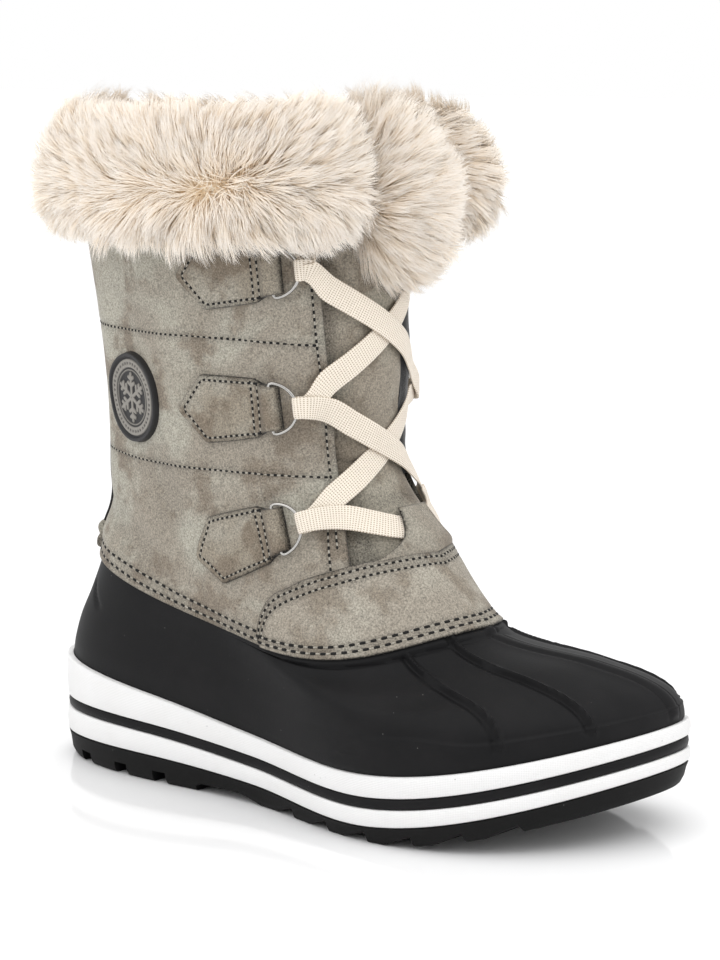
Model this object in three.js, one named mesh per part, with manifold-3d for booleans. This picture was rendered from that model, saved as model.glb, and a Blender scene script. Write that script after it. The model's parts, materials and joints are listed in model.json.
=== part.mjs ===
// Snow boot for a right foot: a moulded rubber shell on a banded cup sole, a lasted leather shaft
// with a tongue in its throat, wire rings with a flat lace, and a deep fur cuff round the collar.
// Millimetres. +X points to the toe, +Y to the inner side of the foot, +Z up.
import * as THREE from "three";
import { mergeVertices } from "three/addons/utils/BufferGeometryUtils.js";
import Module from "manifold-3d";

const wasm = await Module();
wasm.setup();

// ---- Driving dimensions ----

const GAP = 0.3; // air left between two pieces that meet

// Sole
const SOLE_LENGTH = 282;
const SOLE_STATIONS = [0, 0.25, 0.45, 0.7, 1]; // fractions of the length, heel to toe
const SOLE_LINES = {
  outsoleTop: [10.5, 11.2, 8.5, 7, 27.4],
  lowerBandTop: [21, 20.2, 15.5, 14, 33],
  upperBandFoot: [26, 24.7, 20.2, 18.6, 37.8],
  feather: [44.5, 36.6, 28.4, 27, 44.2],
};
const HEEL_END = 90; // front of the heel block
const ARCH_RISE = 3.6; // underside of the arch above the floor
const ARCH_END = 116; // from here the underside comes down to the forefoot's first tooth
const TOE_SPRING_START = 200;
const TOE_SPRING = 19.3;
const TOE_SPRING_POWER = 1.4;
const HEEL_NOTCHES = [26, 50, 72];
const HEEL_NOTCH = { width: 7, depth: 5 };
const TEETH = [126, 148, 170, 191, 211, 230, 247]; // steep faces of the forefoot's saw teeth
const TOOTH = { slope: 14, depth: 4.2 };
const CUTTER_LENGTH = 180;
const WALL_OF_CUP = 2.2; // the band's wall round the shell
const GROOVE_DEPTH = 2.6;
const STRIPE_RECESS = 0.5;
const CUP_FLOOR_DROP = 2; // cup floor below the foot of the upper band
const INSOLE_THICK = 4.5;

// Plan shape: half-widths are given at these fractions of each section's length
const WIDTH_STATIONS = [0.14, 0.42, 0.7, 0.92]; // heel, waist, ball, toe
const SOLE_WIDTHS = [36.5, 38, 53.6, 42];
const CENTRE_LINE = { x: [0, 40, 118, 197, 282], y: [0, 0, -3.6, -4.6, 19] };
const HEEL_FULLNESS = 1.22; // rounds the back of each section out from an ellipse
const TOE_FULLNESS = 1.03;
const BAND_PROUD = 2.5; // the band stands this far outside the shell's foot

// Sections of the boot's outer surface, from the feather line (level 0) to the collar (level 1).
// x: back and front; width: half-widths at heel, waist, ball and toe; z: five heights, back to front.
const SECTIONS = [
  { level: 0.1, x: [3.8, 278.6], width: [35, 38, 54, 38.5], z: [49.8, 45, 42, 42.5, 51.5] },
  { level: 0.2, x: [7.6, 270.5], width: [34.4, 38, 53.5, 34], z: [61, 55, 51.3, 50.5, 58.5] },
  { level: 0.3, x: [14.3, 252], width: [33.3, 38, 50.8, 29], z: [74, 65, 59, 55.5, 66] },
  { level: 0.4, x: [22.5, 209], width: [31.5, 37.5, 43.8, 27.5], z: [92, 79.8, 71.5, 66.5, 77] },
  { level: 0.5, x: [26.8, 179.6], width: [29.6, 37.4, 40.6, 27.7], z: [108, 100, 96, 100, 114.2] },
  { level: 0.62, x: [27.6, 164], width: [28.7, 38.6, 39.5, 27.4], z: [129, 126, 126, 129, 134.7] },
  { level: 0.8, x: [26.5, 163.2], width: [29.7, 41.5, 40.5, 28.6], z: [169, 168, 169, 171, 174] },
  { level: 1, x: [18.7, 161.8], width: [32.5, 45.5, 43.5, 30.5], z: [222, 221, 221, 222, 224] },
];
const HEIGHT_STATIONS = [0, 0.25, 0.5, 0.75, 1];
const FEATHER_BLEND = 0.1; // up to this level the heights ease out of the feather line
const RISE_ABOVE_COLLAR = 100; // one level above the collar is this much height

// Upper
const SHELL_WALL = 2.8;
const SHELL_TOP = 0.43; // level of the rubber's hidden top edge
const SEAM_LINE = { // the leather's lower edge, over the rubber
  turn: [0, 0.45, 0.6, 0.72, 0.85, 1],
  level: [0.386, 0.389, 0.395, 0.395, 0.398, 0.396],
};
const SHAFT_OVER_RUBBER = 1.9; // leather's outer face above the rubber's
const SHAFT_ABOVE = 0.6; // and above the boot's plain surface further up
const SHAFT_INNER = -2.2;
const COLLAR = 1.08; // level of the shaft's and tongue's top edge, inside the fur
const THROAT_FOOT = 0.462;
const EYESTAY_TURN = 0.842;
const TONGUE_TURN = 0.73;
const TONGUE_THICK = 4;
const TONGUE_CLEAR = 0.8; // tongue's hidden edges behind the shaft's wall
const OVERLAY_THICK = 1.3;
const VAMP_LINE = { // the vamp's upper edge, which climbs steeply from its back corner
  turn: [0.566, 0.573, 0.592, 0.62, 0.68, 0.785, 0.9, 1],
  level: [0.397, 0.412, 0.438, 0.46, 0.475, 0.479, 0.474, 0.469],
};
const VAMP_TURN = 0.57;

// Lacing
const RING_WIRE = 0.65; // radius
const RING_BORE = RING_WIRE + GAP + 0.1; // radius of the hole in the tab's fold
const RING_HALF_HEIGHT = 10;
const RING_BEND = { corner: 1.2, bow: 0.5, out: 0.4 }; // where the bar bends into the bow
const RING_REACH = 11;
const RING_LIFT = 3.4; // ring's bar above the boot's surface
const TAB_BAR = 20.5; // from the tab's middle to the ring's bar
const TABS = [
  { name: "top", level: 0.96, turn: 0.625, tilt: 4.5 },
  { name: "middle", level: 0.752, turn: 0.605, tilt: 4.5 },
  { name: "bottom", level: 0.533, turn: 0.593, tilt: 20 },
];
const LACE_WIDTH = 10;
const LACE_THICK = 1.2;
const LACE_END_TURN = 0.806;
const LACE_LIFT = 2.2;
const KEEPER_FOOT = 0.482;
const KEEPER_TOP = 0.522;
const KEEPER_LIFT = 2.5;

// Badge, backstay and fur
const BADGE = { level: 0.76, turn: 0.34, radius: 18.5 };
const BACKSTAY_TURN = 0.1;
const CUFF_TURN = { outer: 0.9, inner: 0.875 };
const CUFF_REACH = 20;
const CUFF_FLARE = 18; // the inner side's front end stands this much further out
const CUFF_TOP = 57; // above the collar
const CUFF_HANG = 0.935; // level down to which the cuff's flap hangs
const CUFF_CLEAR = 7; // flap's inner face off the boot's surface, over tabs and rings
const CUFF_MIDDLE = 18; // height of its fullest line above level 1
const TONGUE_FUR = { centre: [168, 3, 241], half: [22, 32, 43] };

const AROUND = 48; // points round a full section

const COLOURS = {
  blackRubber: { color: 0x1b1b1c, roughness: 0.6, metalness: 0 },
  whiteRubber: { color: 0xf1f0ec, roughness: 0.55, metalness: 0 },
  leather: { color: 0x918b7d, roughness: 0.8, metalness: 0 },
  fur: { color: 0xe4d6bf, roughness: 1, metalness: 0 },
  fleece: { color: 0xd9cdb8, roughness: 1, metalness: 0 },
  steel: { color: 0xc4c4c4, roughness: 0.25, metalness: 1 },
  lace: { color: 0xe6dece, roughness: 0.9, metalness: 0 },
};

// ---- Curves ----

const clamp = (x, low, high) => Math.min(Math.max(x, low), high);
const mix = (a, b, t) => a + (b - a) * t;

function smooth(from, to, x) {
  const t = clamp((x - from) / (to - from), 0, 1);
  return t * t * (3 - 2 * t);
}

function slopes(xs, ys) {
  const last = xs.length - 1;
  const chord = (i) => (ys[i + 1] - ys[i]) / (xs[i + 1] - xs[i]);
  const inner = (i) => {
    const before = xs[i] - xs[i - 1];
    const after = xs[i + 1] - xs[i];
    return (chord(i - 1) * after + chord(i) * before) / (before + after);
  };
  return xs.map((_, i) => {
    if (i === 0) return 1.5 * chord(0) - 0.5 * inner(1);
    if (i === last) return 1.5 * chord(last - 1) - 0.5 * inner(last - 1);
    return inner(i);
  });
}

// A smooth curve through (xs, ys), read at x.
function curve(xs, ys, x) {
  const at = clamp(x, xs[0], xs[xs.length - 1]);
  let i = 0;
  while (i < xs.length - 2 && at > xs[i + 1]) i += 1;
  const m = slopes(xs, ys);
  const h = xs[i + 1] - xs[i];
  const t = (at - xs[i]) / h;
  const from = ys[i] * (1 + 2 * t) * (1 - t) ** 2 + h * m[i] * t * (1 - t) ** 2;
  return from + ys[i + 1] * t * t * (3 - 2 * t) + h * m[i + 1] * t * t * (t - 1);
}

const soleLine = (name) => (x) => curve(SOLE_STATIONS, SOLE_LINES[name], x / SOLE_LENGTH);
const shifted = (line, by) => (x) => line(x) + by;
const outsoleTop = soleLine("outsoleTop");
const lowerBandTop = soleLine("lowerBandTop");
const upperBandFoot = soleLine("upperBandFoot");
const feather = soleLine("feather");
const cupFloor = shifted(upperBandFoot, -CUP_FLOOR_DROP);

// Height of the tread above the floor: flat, then the toe spring. The arch is cut out afterwards.
function tread(x) {
  const along = clamp((x - TOE_SPRING_START) / (SOLE_LENGTH - TOE_SPRING_START), 0, 1);
  return TOE_SPRING * along ** TOE_SPRING_POWER;
}

// ---- The boot's surface ----
// turn runs round a section: 0 at the back, up to 1 at the front by the outer side, down to -1 by
// the inner side.

const wrapTurn = (turn) => (turn > 1 ? turn - 2 : turn < -1 ? turn + 2 : turn);

function halfWidth(widths, u) {
  const full = widths.map((w, i) => w / Math.sqrt(WIDTH_STATIONS[i] * (1 - WIDTH_STATIONS[i])));
  const ends = [full[0] * HEEL_FULLNESS, ...full, full[3] * TOE_FULLNESS];
  const fullness = curve([0, ...WIDTH_STATIONS, 1], ends, u);
  return fullness * Math.sqrt(Math.max(u * (1 - u), 0));
}

const FOOT_SECTION = {
  level: 0,
  x: [BAND_PROUD, SOLE_LENGTH - BAND_PROUD],
  width: SOLE_WIDTHS.map((w) => w - BAND_PROUD),
  z: SOLE_LINES.feather,
};
const ALL_SECTIONS = [FOOT_SECTION, ...SECTIONS];
const LEVELS = ALL_SECTIONS.map((section) => section.level);
const sectionCache = new Map();

function sectionAt(level) {
  if (!sectionCache.has(level)) {
    const read = (key) => FOOT_SECTION[key].map((_, i) =>
      curve(LEVELS, ALL_SECTIONS.map((section) => section[key][i]), level));
    sectionCache.set(level, { x: read("x"), width: read("width"), z: read("z") });
  }
  return sectionCache.get(level);
}

function planPoint(x, widths, u, turn) {
  const side = turn >= 0 ? -1 : 1;
  return curve(CENTRE_LINE.x, CENTRE_LINE.y, x) + side * halfWidth(widths, u);
}

function surface(level, turnGiven) {
  const turn = wrapTurn(turnGiven);
  const section = sectionAt(Math.min(level, 1));
  const u = (1 - Math.cos(Math.PI * Math.abs(turn))) / 2;
  const x = mix(section.x[0], section.x[1], u);
  const y = planPoint(x, section.width, u, turn);
  const ease = Math.min(level / FEATHER_BLEND, 1);
  const z = mix(feather(x), curve(HEIGHT_STATIONS, section.z, u), ease);
  return new THREE.Vector3(x, y, z + Math.max(level - 1, 0) * RISE_ABOVE_COLLAR);
}

function normal(level, turn) {
  const low = Math.max(level - 0.006, 0);
  const up = surface(level + 0.006, turn).sub(surface(low, turn));
  const along = surface(level, turn + 0.006).sub(surface(level, turn - 0.006));
  return along.cross(up).normalize();
}

const lift = (level, turn, by) => surface(level, turn).addScaledVector(normal(level, turn), by);

// ---- Solids ----

function range(from, to, count) {
  return Array.from({ length: count }, (_, i) => mix(from, to, i / (count - 1)));
}

// Turns round a whole section, half a step off the centre so that the two sides pair up.
const TURNS = Array.from({ length: AROUND }, (_, k) => -1 + (2 * k + 1) / AROUND);

function geometryFrom(points, triangles) {
  const geometry = new THREE.BufferGeometry();
  const flat = points.flatMap((p) => [p.x, p.y, p.z]);
  geometry.setAttribute("position", new THREE.Float32BufferAttribute(flat, 3));
  geometry.setIndex(volume(points, triangles) < 0 ? triangles.reverse() : triangles);
  return geometry;
}

function volume(points, triangles) {
  let sum = 0;
  const cross = new THREE.Vector3();
  for (let i = 0; i < triangles.length; i += 3) {
    const [a, b, c] = [0, 1, 2].map((k) => points[triangles[i + k]]);
    sum += a.dot(cross.crossVectors(b, c));
  }
  return sum / 6;
}

function sides(count, rows, closed) {
  const triangles = [];
  const last = closed ? rows : rows - 1;
  for (let i = 0; i < last; i += 1) {
    const next = (i + 1) % rows;
    for (let j = 0; j < count; j += 1) {
      const k = (j + 1) % count;
      const [a, b, c, d] = [i * count + j, i * count + k, next * count + k, next * count + j];
      triangles.push(a, b, c, a, c, d);
    }
  }
  return triangles;
}

// An end face: point k of the outline is joined across to point n - 1 - k.
function endFace(start, count, flip) {
  const triangles = [];
  for (let k = 0; k < count / 2 - 1; k += 1) {
    const [a, b, c, d] = [k, k + 1, count - 2 - k, count - 1 - k].map((i) => start + i);
    triangles.push(...(flip ? [a, c, b, a, d, c] : [a, b, c, a, c, d]));
  }
  return triangles;
}

// A solid through closed outlines with the same number of points, with a face at each end.
function loft(outlines) {
  const count = outlines[0].length;
  const triangles = [
    ...sides(count, outlines.length, false),
    ...endFace(0, count, true),
    ...endFace((outlines.length - 1) * count, count, false),
  ];
  return geometryFrom(outlines.flat(), triangles);
}

// The same, with the last outline joined back to the first.
function loop(outlines) {
  return geometryFrom(outlines.flat(), sides(outlines[0].length, outlines.length, true));
}

// A curved plate over rows of levels and columns of turns, between two lifts.
function plate(columns, rows, place, under, over) {
  return loft(columns.map((c) => [
    ...rows.map((r) => lift(...place(c, r), over(c, r))),
    ...[...rows].reverse().map((r) => lift(...place(c, r), under(c, r))),
  ]));
}

// A closed outline round the boot, along a line given as a level at each turn.
const ringAlong = (line, by) => TURNS.map((turn) => lift(line(turn), turn, by(line(turn))));
const ringAt = (level, by) => ringAlong(() => level, () => by);

// A closed outline of the sole's plan, drawn in from its edge, at a height given along x.
function footprint(inset, height) {
  return TURNS.map((turn) => {
    const u = (1 - Math.cos(Math.PI * Math.abs(turn))) / 2;
    const x = mix(inset, SOLE_LENGTH - inset, u);
    const y = planPoint(x, SOLE_WIDTHS.map((w) => w - inset), u, turn);
    return new THREE.Vector3(x, y, height(x));
  });
}

function toSolid(geometry) {
  const bare = geometry.index ? geometry : withoutExtras(geometry);
  return new wasm.Manifold(new wasm.Mesh({
    numProp: 3,
    vertProperties: new Float32Array(bare.attributes.position.array),
    triVerts: new Uint32Array(bare.index.array),
  }));
}

function withoutExtras(geometry) {
  const bare = geometry.clone();
  bare.deleteAttribute("normal");
  bare.deleteAttribute("uv");
  return mergeVertices(bare, 1e-4);
}

function toGeometry(solid) {
  const mesh = solid.getMesh();
  const geometry = new THREE.BufferGeometry();
  geometry.setAttribute("position", new THREE.BufferAttribute(mesh.vertProperties, 3));
  geometry.setIndex(new THREE.BufferAttribute(mesh.triVerts, 1));
  return geometry;
}

// The biggest body of a solid, which leaves out crumbs and fills pockets between joined faces.
const biggest = (solid) => solid.decompose().reduce((a, b) => (b.volume() > a.volume() ? b : a));

function cut(geometry, cutters) {
  const whole = toSolid(geometry);
  return toGeometry(biggest(cutters.reduce((solid, cutter) => solid.subtract(toSolid(cutter)), whole)));
}

function join(geometries) {
  return toGeometry(biggest(geometries.map(toSolid).reduce((solid, other) => solid.add(other))));
}

// A cutter right across the sole, from an outline of [x, height above the tread at x].
function crossCutter(outline) {
  const shape = new THREE.Shape(outline.map(([x, height]) => new THREE.Vector2(x, height + tread(x))));
  const settings = { depth: CUTTER_LENGTH, bevelEnabled: false };
  const prism = withoutExtras(new THREE.ExtrudeGeometry(shape, settings));
  prism.translate(0, 0, -CUTTER_LENGTH / 2);
  return prism.rotateX(Math.PI / 2);
}

// ---- Sole ----

function heelNotch(x) {
  const { width, depth } = HEEL_NOTCH;
  const [from, to] = [x - width / 2, x + width / 2];
  return crossCutter([[from - 1, -depth], [to, -depth], [to, depth], [from, depth]]);
}

function archCut() {
  return crossCutter([
    [HEEL_END, -ARCH_RISE],
    [TEETH[0], -ARCH_RISE],
    [TEETH[0], 1],
    [ARCH_END, ARCH_RISE],
    [HEEL_END + 1, ARCH_RISE],
  ]);
}

// The hollow before a saw tooth: a long slope up and a steep face down at x.
function toothCut(x) {
  const { slope, depth } = TOOTH;
  return crossCutter([[x - slope, -depth], [x, -depth], [x - 1, depth], [x - slope, 0]]);
}

function makeOutsole() {
  const block = loft([
    footprint(2.6, tread),
    footprint(1.2, shifted(tread, 2)),
    footprint(0.3, outsoleTop),
  ]);
  return cut(block, [archCut(), ...HEEL_NOTCHES.map(heelNotch), ...TEETH.slice(1).map(toothCut)]);
}

function makeMidsole() {
  return loft([
    footprint(0, shifted(outsoleTop, GAP)),
    footprint(0, lowerBandTop),
    footprint(GROOVE_DEPTH, lowerBandTop),
    footprint(GROOVE_DEPTH, upperBandFoot),
    footprint(0, upperBandFoot),
    footprint(0, feather),
    footprint(WALL_OF_CUP, feather),
    footprint(WALL_OF_CUP, cupFloor),
  ]);
}

function makeStripe() {
  const low = shifted(lowerBandTop, GAP);
  const high = shifted(upperBandFoot, -GAP);
  const inner = GROOVE_DEPTH - GAP;
  return loop([
    footprint(STRIPE_RECESS, low),
    footprint(STRIPE_RECESS, high),
    footprint(inner, high),
    footprint(inner, low),
  ]);
}

function makeInsole() {
  const inset = BAND_PROUD + SHELL_WALL + GAP;
  return loft([
    footprint(inset, shifted(cupFloor, GAP)),
    footprint(inset, shifted(cupFloor, GAP + INSOLE_THICK)),
  ]);
}

// ---- Upper ----

const fromFront = (turn) => Math.abs(wrapTurn(turn));
const seam = (turn) => curve(SEAM_LINE.turn, SEAM_LINE.level, fromFront(turn));

function makeShell() {
  const foot = shifted(cupFloor, GAP);
  const outer = [0.05, 0.1, 0.16, 0.23, 0.31].map((level) => ringAt(level, 0));
  const underLeather = [0.41, SHELL_TOP].map((level) => ringAt(level, 0));
  const inner = [SHELL_TOP, 0.36, 0.25, 0.15, 0.06].map((level) => ringAt(level, -SHELL_WALL));
  return loop([
    footprint(BAND_PROUD, foot),
    footprint(BAND_PROUD, feather),
    ...outer,
    ringAlong(seam, () => 0),
    ...underLeather,
    ...inner,
    footprint(BAND_PROUD + SHELL_WALL, feather),
    footprint(BAND_PROUD + SHELL_WALL, foot),
  ]);
}

const shaftFace = (level) => mix(SHAFT_OVER_RUBBER, SHAFT_ABOVE, smooth(SHELL_TOP, 0.52, level));

// Turns across the front, counted on past 1 so that they run in one direction.
const across = (edge, count) => range(edge, 2 - edge, count);
const SHAFT_LEVELS = [0.41, 0.445, 0.48, 0.52, 0.58, 0.66, 0.75, 0.84, 0.92, 1, COLLAR];

function makeShaft() {
  const inner = [COLLAR, 1, 0.88, 0.74, 0.6, 0.51, 0.452];
  const tube = loop([
    ringAlong(seam, shaftFace),
    ...SHAFT_LEVELS.map((level) => ringAt(level, shaftFace(level))),
    ...inner.map((level) => ringAt(level, SHAFT_INNER)),
    ...[0.438, 0.41].map((level) => ringAt(level, GAP)),
    ringAlong(seam, () => GAP),
  ]);
  const throat = plate(
    across(EYESTAY_TURN, 12),
    [THROAT_FOOT, 0.5, 0.55, 0.62, 0.75, 0.9, 1, COLLAR + 0.1],
    (turn, level) => [level, turn],
    () => -9,
    () => 9,
  );
  return cut(tube, [throat]);
}

const vampEdge = (turn) => curve(VAMP_LINE.turn, VAMP_LINE.level, fromFront(turn));

// A proud layer over the shaft: a tube just outside it, kept where a patch reaches through.
function overlay(lines, thick, patch) {
  const rings = (by) => lines.map((line) => ringAlong(line, (level) => shaftFace(level) + by));
  const tube = loop([...rings(GAP), ...rings(GAP + thick).reverse()]);
  return toGeometry(toSolid(tube).intersect(toSolid(patch)));
}

function makeVamp() {
  const near = [0, 0.012, 0.028, 0.05, 0.078].map((step) => VAMP_TURN + step);
  const turns = [...near, ...across(0.68, 13), ...near.map((turn) => 2 - turn).reverse()];
  const patch = plate(
    turns,
    [0, 0.33, 0.67, 1],
    (turn, part) => [mix(seam(turn) - 0.01, vampEdge(turn), part), turn],
    () => -2,
    () => 7,
  );
  const flat = SHAFT_LEVELS.slice(0, 4).map((level) => () => level);
  return overlay([seam, ...flat], OVERLAY_THICK, patch);
}

function makeTongue() {
  const face = (turn) => {
    const risen = smooth(EYESTAY_TURN + 0.015, 0.93, fromFront(turn));
    return mix(SHAFT_INNER - TONGUE_CLEAR, 0, risen);
  };
  return plate(
    across(TONGUE_TURN, 19),
    [0.463, 0.49, 0.53, 0.58, 0.65, 0.75, 0.85, 0.93, 1, COLLAR],
    (turn, level) => [level, turn],
    (turn) => face(turn) - TONGUE_THICK,
    face,
  );
}

// The loop at the vamp's top that the lowest bar of lace runs under; its foot flares out.
function makeLaceKeeper() {
  const edge = (level) => {
    const part = (level - KEEPER_FOOT) / (KEEPER_TOP - KEEPER_FOOT);
    return mix(0.8, 0.95, smooth(0, 0.36, part));
  };
  return plate(
    range(-1, 1, 11),
    range(KEEPER_FOOT, KEEPER_TOP, 6),
    (part, level) => [level, 1 + part * (1 - edge(level))],
    () => KEEPER_LIFT,
    () => KEEPER_LIFT + OVERLAY_THICK,
  );
}

function makeBackstay() {
  const under = (_, level) => shaftFace(level) + GAP;
  return plate(
    range(-BACKSTAY_TURN, BACKSTAY_TURN, 7),
    [0.44, 0.48, 0.52, 0.58, 0.66, 0.75],
    (turn, level) => [level, turn],
    under,
    (turn, level) => under(turn, level) + 1,
  );
}

// ---- Pieces laid on the shaft's sides ----

// A flat frame touching the surface: along points forward, up points up, both turned by tilt.
function sideFrame(level, turn, tilt) {
  const origin = surface(level, turn);
  const out = normal(level, turn);
  const flat = new THREE.Vector3(0, 0, 1).cross(out).normalize();
  const along = flat.x > 0 ? flat : flat.negate();
  const up = new THREE.Vector3(0, 0, 1).addScaledVector(out, -out.z).normalize();
  const angle = THREE.MathUtils.degToRad(tilt);
  const tilted = along.clone().multiplyScalar(Math.cos(angle)).addScaledVector(up, Math.sin(angle));
  up.multiplyScalar(Math.cos(angle)).addScaledVector(along, -Math.sin(angle));
  return { level, turn, origin, out, along: tilted, up };
}

// Level and turn of the surface point seen at (a, b) millimetres in a side frame.
function locate(frame, a, b) {
  let { level, turn } = frame;
  const step = 0.004;
  for (let i = 0; i < 6; i += 1) {
    const miss = surface(level, turn).sub(frame.origin);
    const byLevel = surface(level + step, turn).sub(surface(level - step, turn)).divideScalar(2 * step);
    const byTurn = surface(level, turn + step).sub(surface(level, turn - step)).divideScalar(2 * step);
    const [da, db] = [a - miss.dot(frame.along), b - miss.dot(frame.up)];
    const [la, lb] = [byLevel.dot(frame.along), byLevel.dot(frame.up)];
    const [ta, tb] = [byTurn.dot(frame.along), byTurn.dot(frame.up)];
    const det = la * tb - lb * ta;
    level += (da * tb - db * ta) / det;
    turn += (la * db - lb * da) / det;
  }
  return [level, turn];
}

// A tab along its length, from its pointed back end to its fold round the ring's bar.
const TAB_STATIONS = [-24, -21, -12, -4, 4, 13, 15.5, 17, 20, 22, 23.6];
const TAB_OUTLINE = { a: [-24, -21, -12, 0, 13, 17, 23.6], half: [1.2, 4.6, 13.6, 12.8, 11.4, 8.8, 8.1] };
const TAB_THICK = { a: [-24, 12, 15.5, 18, 22, 23.6], thick: [1.8, 1.8, 3, 5, 5, 3.6] };

function linear(xs, ys, x) {
  let i = 0;
  while (i < xs.length - 2 && x > xs[i + 1]) i += 1;
  return mix(ys[i], ys[i + 1], (x - xs[i]) / (xs[i + 1] - xs[i]));
}

function makeTab(frame) {
  const base = (level) => shaftFace(level) + GAP;
  const half = (a) => linear(TAB_OUTLINE.a, TAB_OUTLINE.half, a);
  const place = (a, part) => locate(frame, a, part * half(a));
  const body = plate(
    TAB_STATIONS,
    [-1, -0.4, 0.4, 1],
    place,
    (a, part) => base(place(a, part)[0]),
    (a, part) => base(place(a, part)[0]) + linear(TAB_THICK.a, TAB_THICK.thick, a),
  );
  return cut(body, [barAt(frame, RING_BORE, 2 * RING_HALF_HEIGHT)]);
}

const barCentre = (frame) => lift(...locate(frame, TAB_BAR, 0), RING_LIFT);

function barAt(frame, radius, length) {
  const bar = withoutExtras(new THREE.CylinderGeometry(radius, radius, length, 8));
  bar.applyQuaternion(new THREE.Quaternion().setFromUnitVectors(new THREE.Vector3(0, 1, 0), frame.up));
  const at = barCentre(frame);
  return bar.translate(at.x, at.y, at.z);
}

// A D of round wire: its bar in the tab's fold, its bow reaching forward.
function makeRing(frame) {
  const bow = range(12, 168, 11).map((degrees) => {
    const angle = THREE.MathUtils.degToRad(degrees);
    return [RING_REACH * Math.sin(angle), RING_HALF_HEIGHT * Math.cos(angle)];
  });
  const corner = RING_HALF_HEIGHT - RING_BEND.corner;
  const bend = RING_HALF_HEIGHT - RING_BEND.bow;
  const bar = [[RING_BEND.out, -bend], [0, -corner], [0, corner], [RING_BEND.out, bend]];
  const outline = [...bar, ...bow];
  const [level, turn] = locate(frame, TAB_BAR, 0);
  const out = normal(level, turn);
  const up = frame.up.clone().addScaledVector(out, -out.dot(frame.up)).normalize();
  const along = up.clone().cross(out).normalize();
  if (along.dot(frame.along) < 0) along.negate();
  const centre = barCentre(frame);
  const point = ([a, b]) => centre.clone().addScaledVector(along, a).addScaledVector(up, b);
  const points = outline.map(point);
  return loop(points.map((p, i) => {
    const before = points[(i + points.length - 1) % points.length];
    const after = points[(i + 1) % points.length];
    const inPlane = after.clone().sub(before).normalize().cross(out).normalize();
    return range(0, 2 * Math.PI, 7).slice(0, 6).map((angle) => {
      const [sideways, outward] = [RING_WIRE * Math.cos(angle), RING_WIRE * Math.sin(angle)];
      return p.clone().addScaledVector(inPlane, sideways).addScaledVector(out, outward);
    });
  }));
}

function makeBadge() {
  const frame = sideFrame(BADGE.level, BADGE.turn, 0);
  const circle = (radius, height) => range(0, 2 * Math.PI, 25).slice(0, 24).map((angle) => {
    const turned = angle + Math.PI / 24;
    const spot = locate(frame, radius * Math.cos(turned), radius * Math.sin(turned));
    return lift(...spot, SHAFT_ABOVE + GAP + height);
  });
  const radius = BADGE.radius;
  return loft([
    circle(3, 0), circle(8, 0), circle(13, 0), circle(radius, 0),
    circle(radius, 1.8), circle(radius - 1.2, 2.4), circle(radius - 3, 2.4), circle(radius - 3.4, 1.6),
    circle(9, 1.6), circle(3, 1.6),
  ]);
}

// ---- Lace ----

// A flat band of lace laid over the front from one spot to another, lifted by height(part).
function laceBand(from, to, height, dip) {
  const parts = range(0, 1, 17);
  const turns = parts.map((part) => mix(from.turn, 2 - to.turn, part));
  const flatPoints = turns.map((turn) => surface(0.7, turn));
  const lengths = [0];
  for (let i = 1; i < turns.length; i += 1) {
    lengths.push(lengths[i - 1] + flatPoints[i].distanceTo(flatPoints[i - 1]));
  }
  const spots = turns.map((turn, i) => {
    const part = lengths[i] / lengths[lengths.length - 1];
    return { part, turn, level: mix(from.level, to.level, part) - dip * Math.sin(Math.PI * part) };
  });
  const centres = spots.map((spot) => lift(spot.level, spot.turn, height(spot.part)));
  return loft(spots.map((spot, i) => {
    const ahead = centres[Math.min(i + 1, centres.length - 1)];
    const behind = centres[Math.max(i - 1, 0)];
    const along = ahead.clone().sub(behind).normalize();
    const out = normal(spot.level, spot.turn);
    const side = along.clone().cross(out).normalize();
    const up = side.clone().cross(along).normalize();
    const corners = [[-1, 1], [1, 1], [1, -1], [-1, -1]];
    return corners.map(([s, u]) => {
      const [across, high] = [(s * LACE_WIDTH) / 2, (u * LACE_THICK) / 2];
      return centres[i].clone().addScaledVector(side, across).addScaledVector(up, high);
    });
  }));
}

function makeLace() {
  const spot = (level) => ({ level, turn: LACE_END_TURN });
  const [top, middle, bottom] = [spot(0.955), spot(0.767), spot(0.555)];
  const endRise = (part) => 1.2 * (1 - Math.sin(Math.PI * part)) ** 2;
  const below = (part) => LACE_LIFT + endRise(part);
  const crossing = (part) => smooth(0.15, 0.4, part) * (1 - smooth(0.6, 0.85, part));
  const above = (part) => below(part) + 0.3 + 0.55 * crossing(part);
  const inKeeper = (part) => smooth(0.12, 0.3, part) * (1 - smooth(0.7, 0.88, part));
  const underKeeper = (part) => mix(below(part) - 0.3, 1.15, inKeeper(part));
  return join([
    laceBand(top, middle, above, 0),
    laceBand(middle, top, below, 0),
    laceBand(middle, bottom, above, 0),
    laceBand(bottom, middle, below, 0),
    laceBand(bottom, bottom, underKeeper, 0.06),
  ]);
}

// ---- Fur ----

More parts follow.
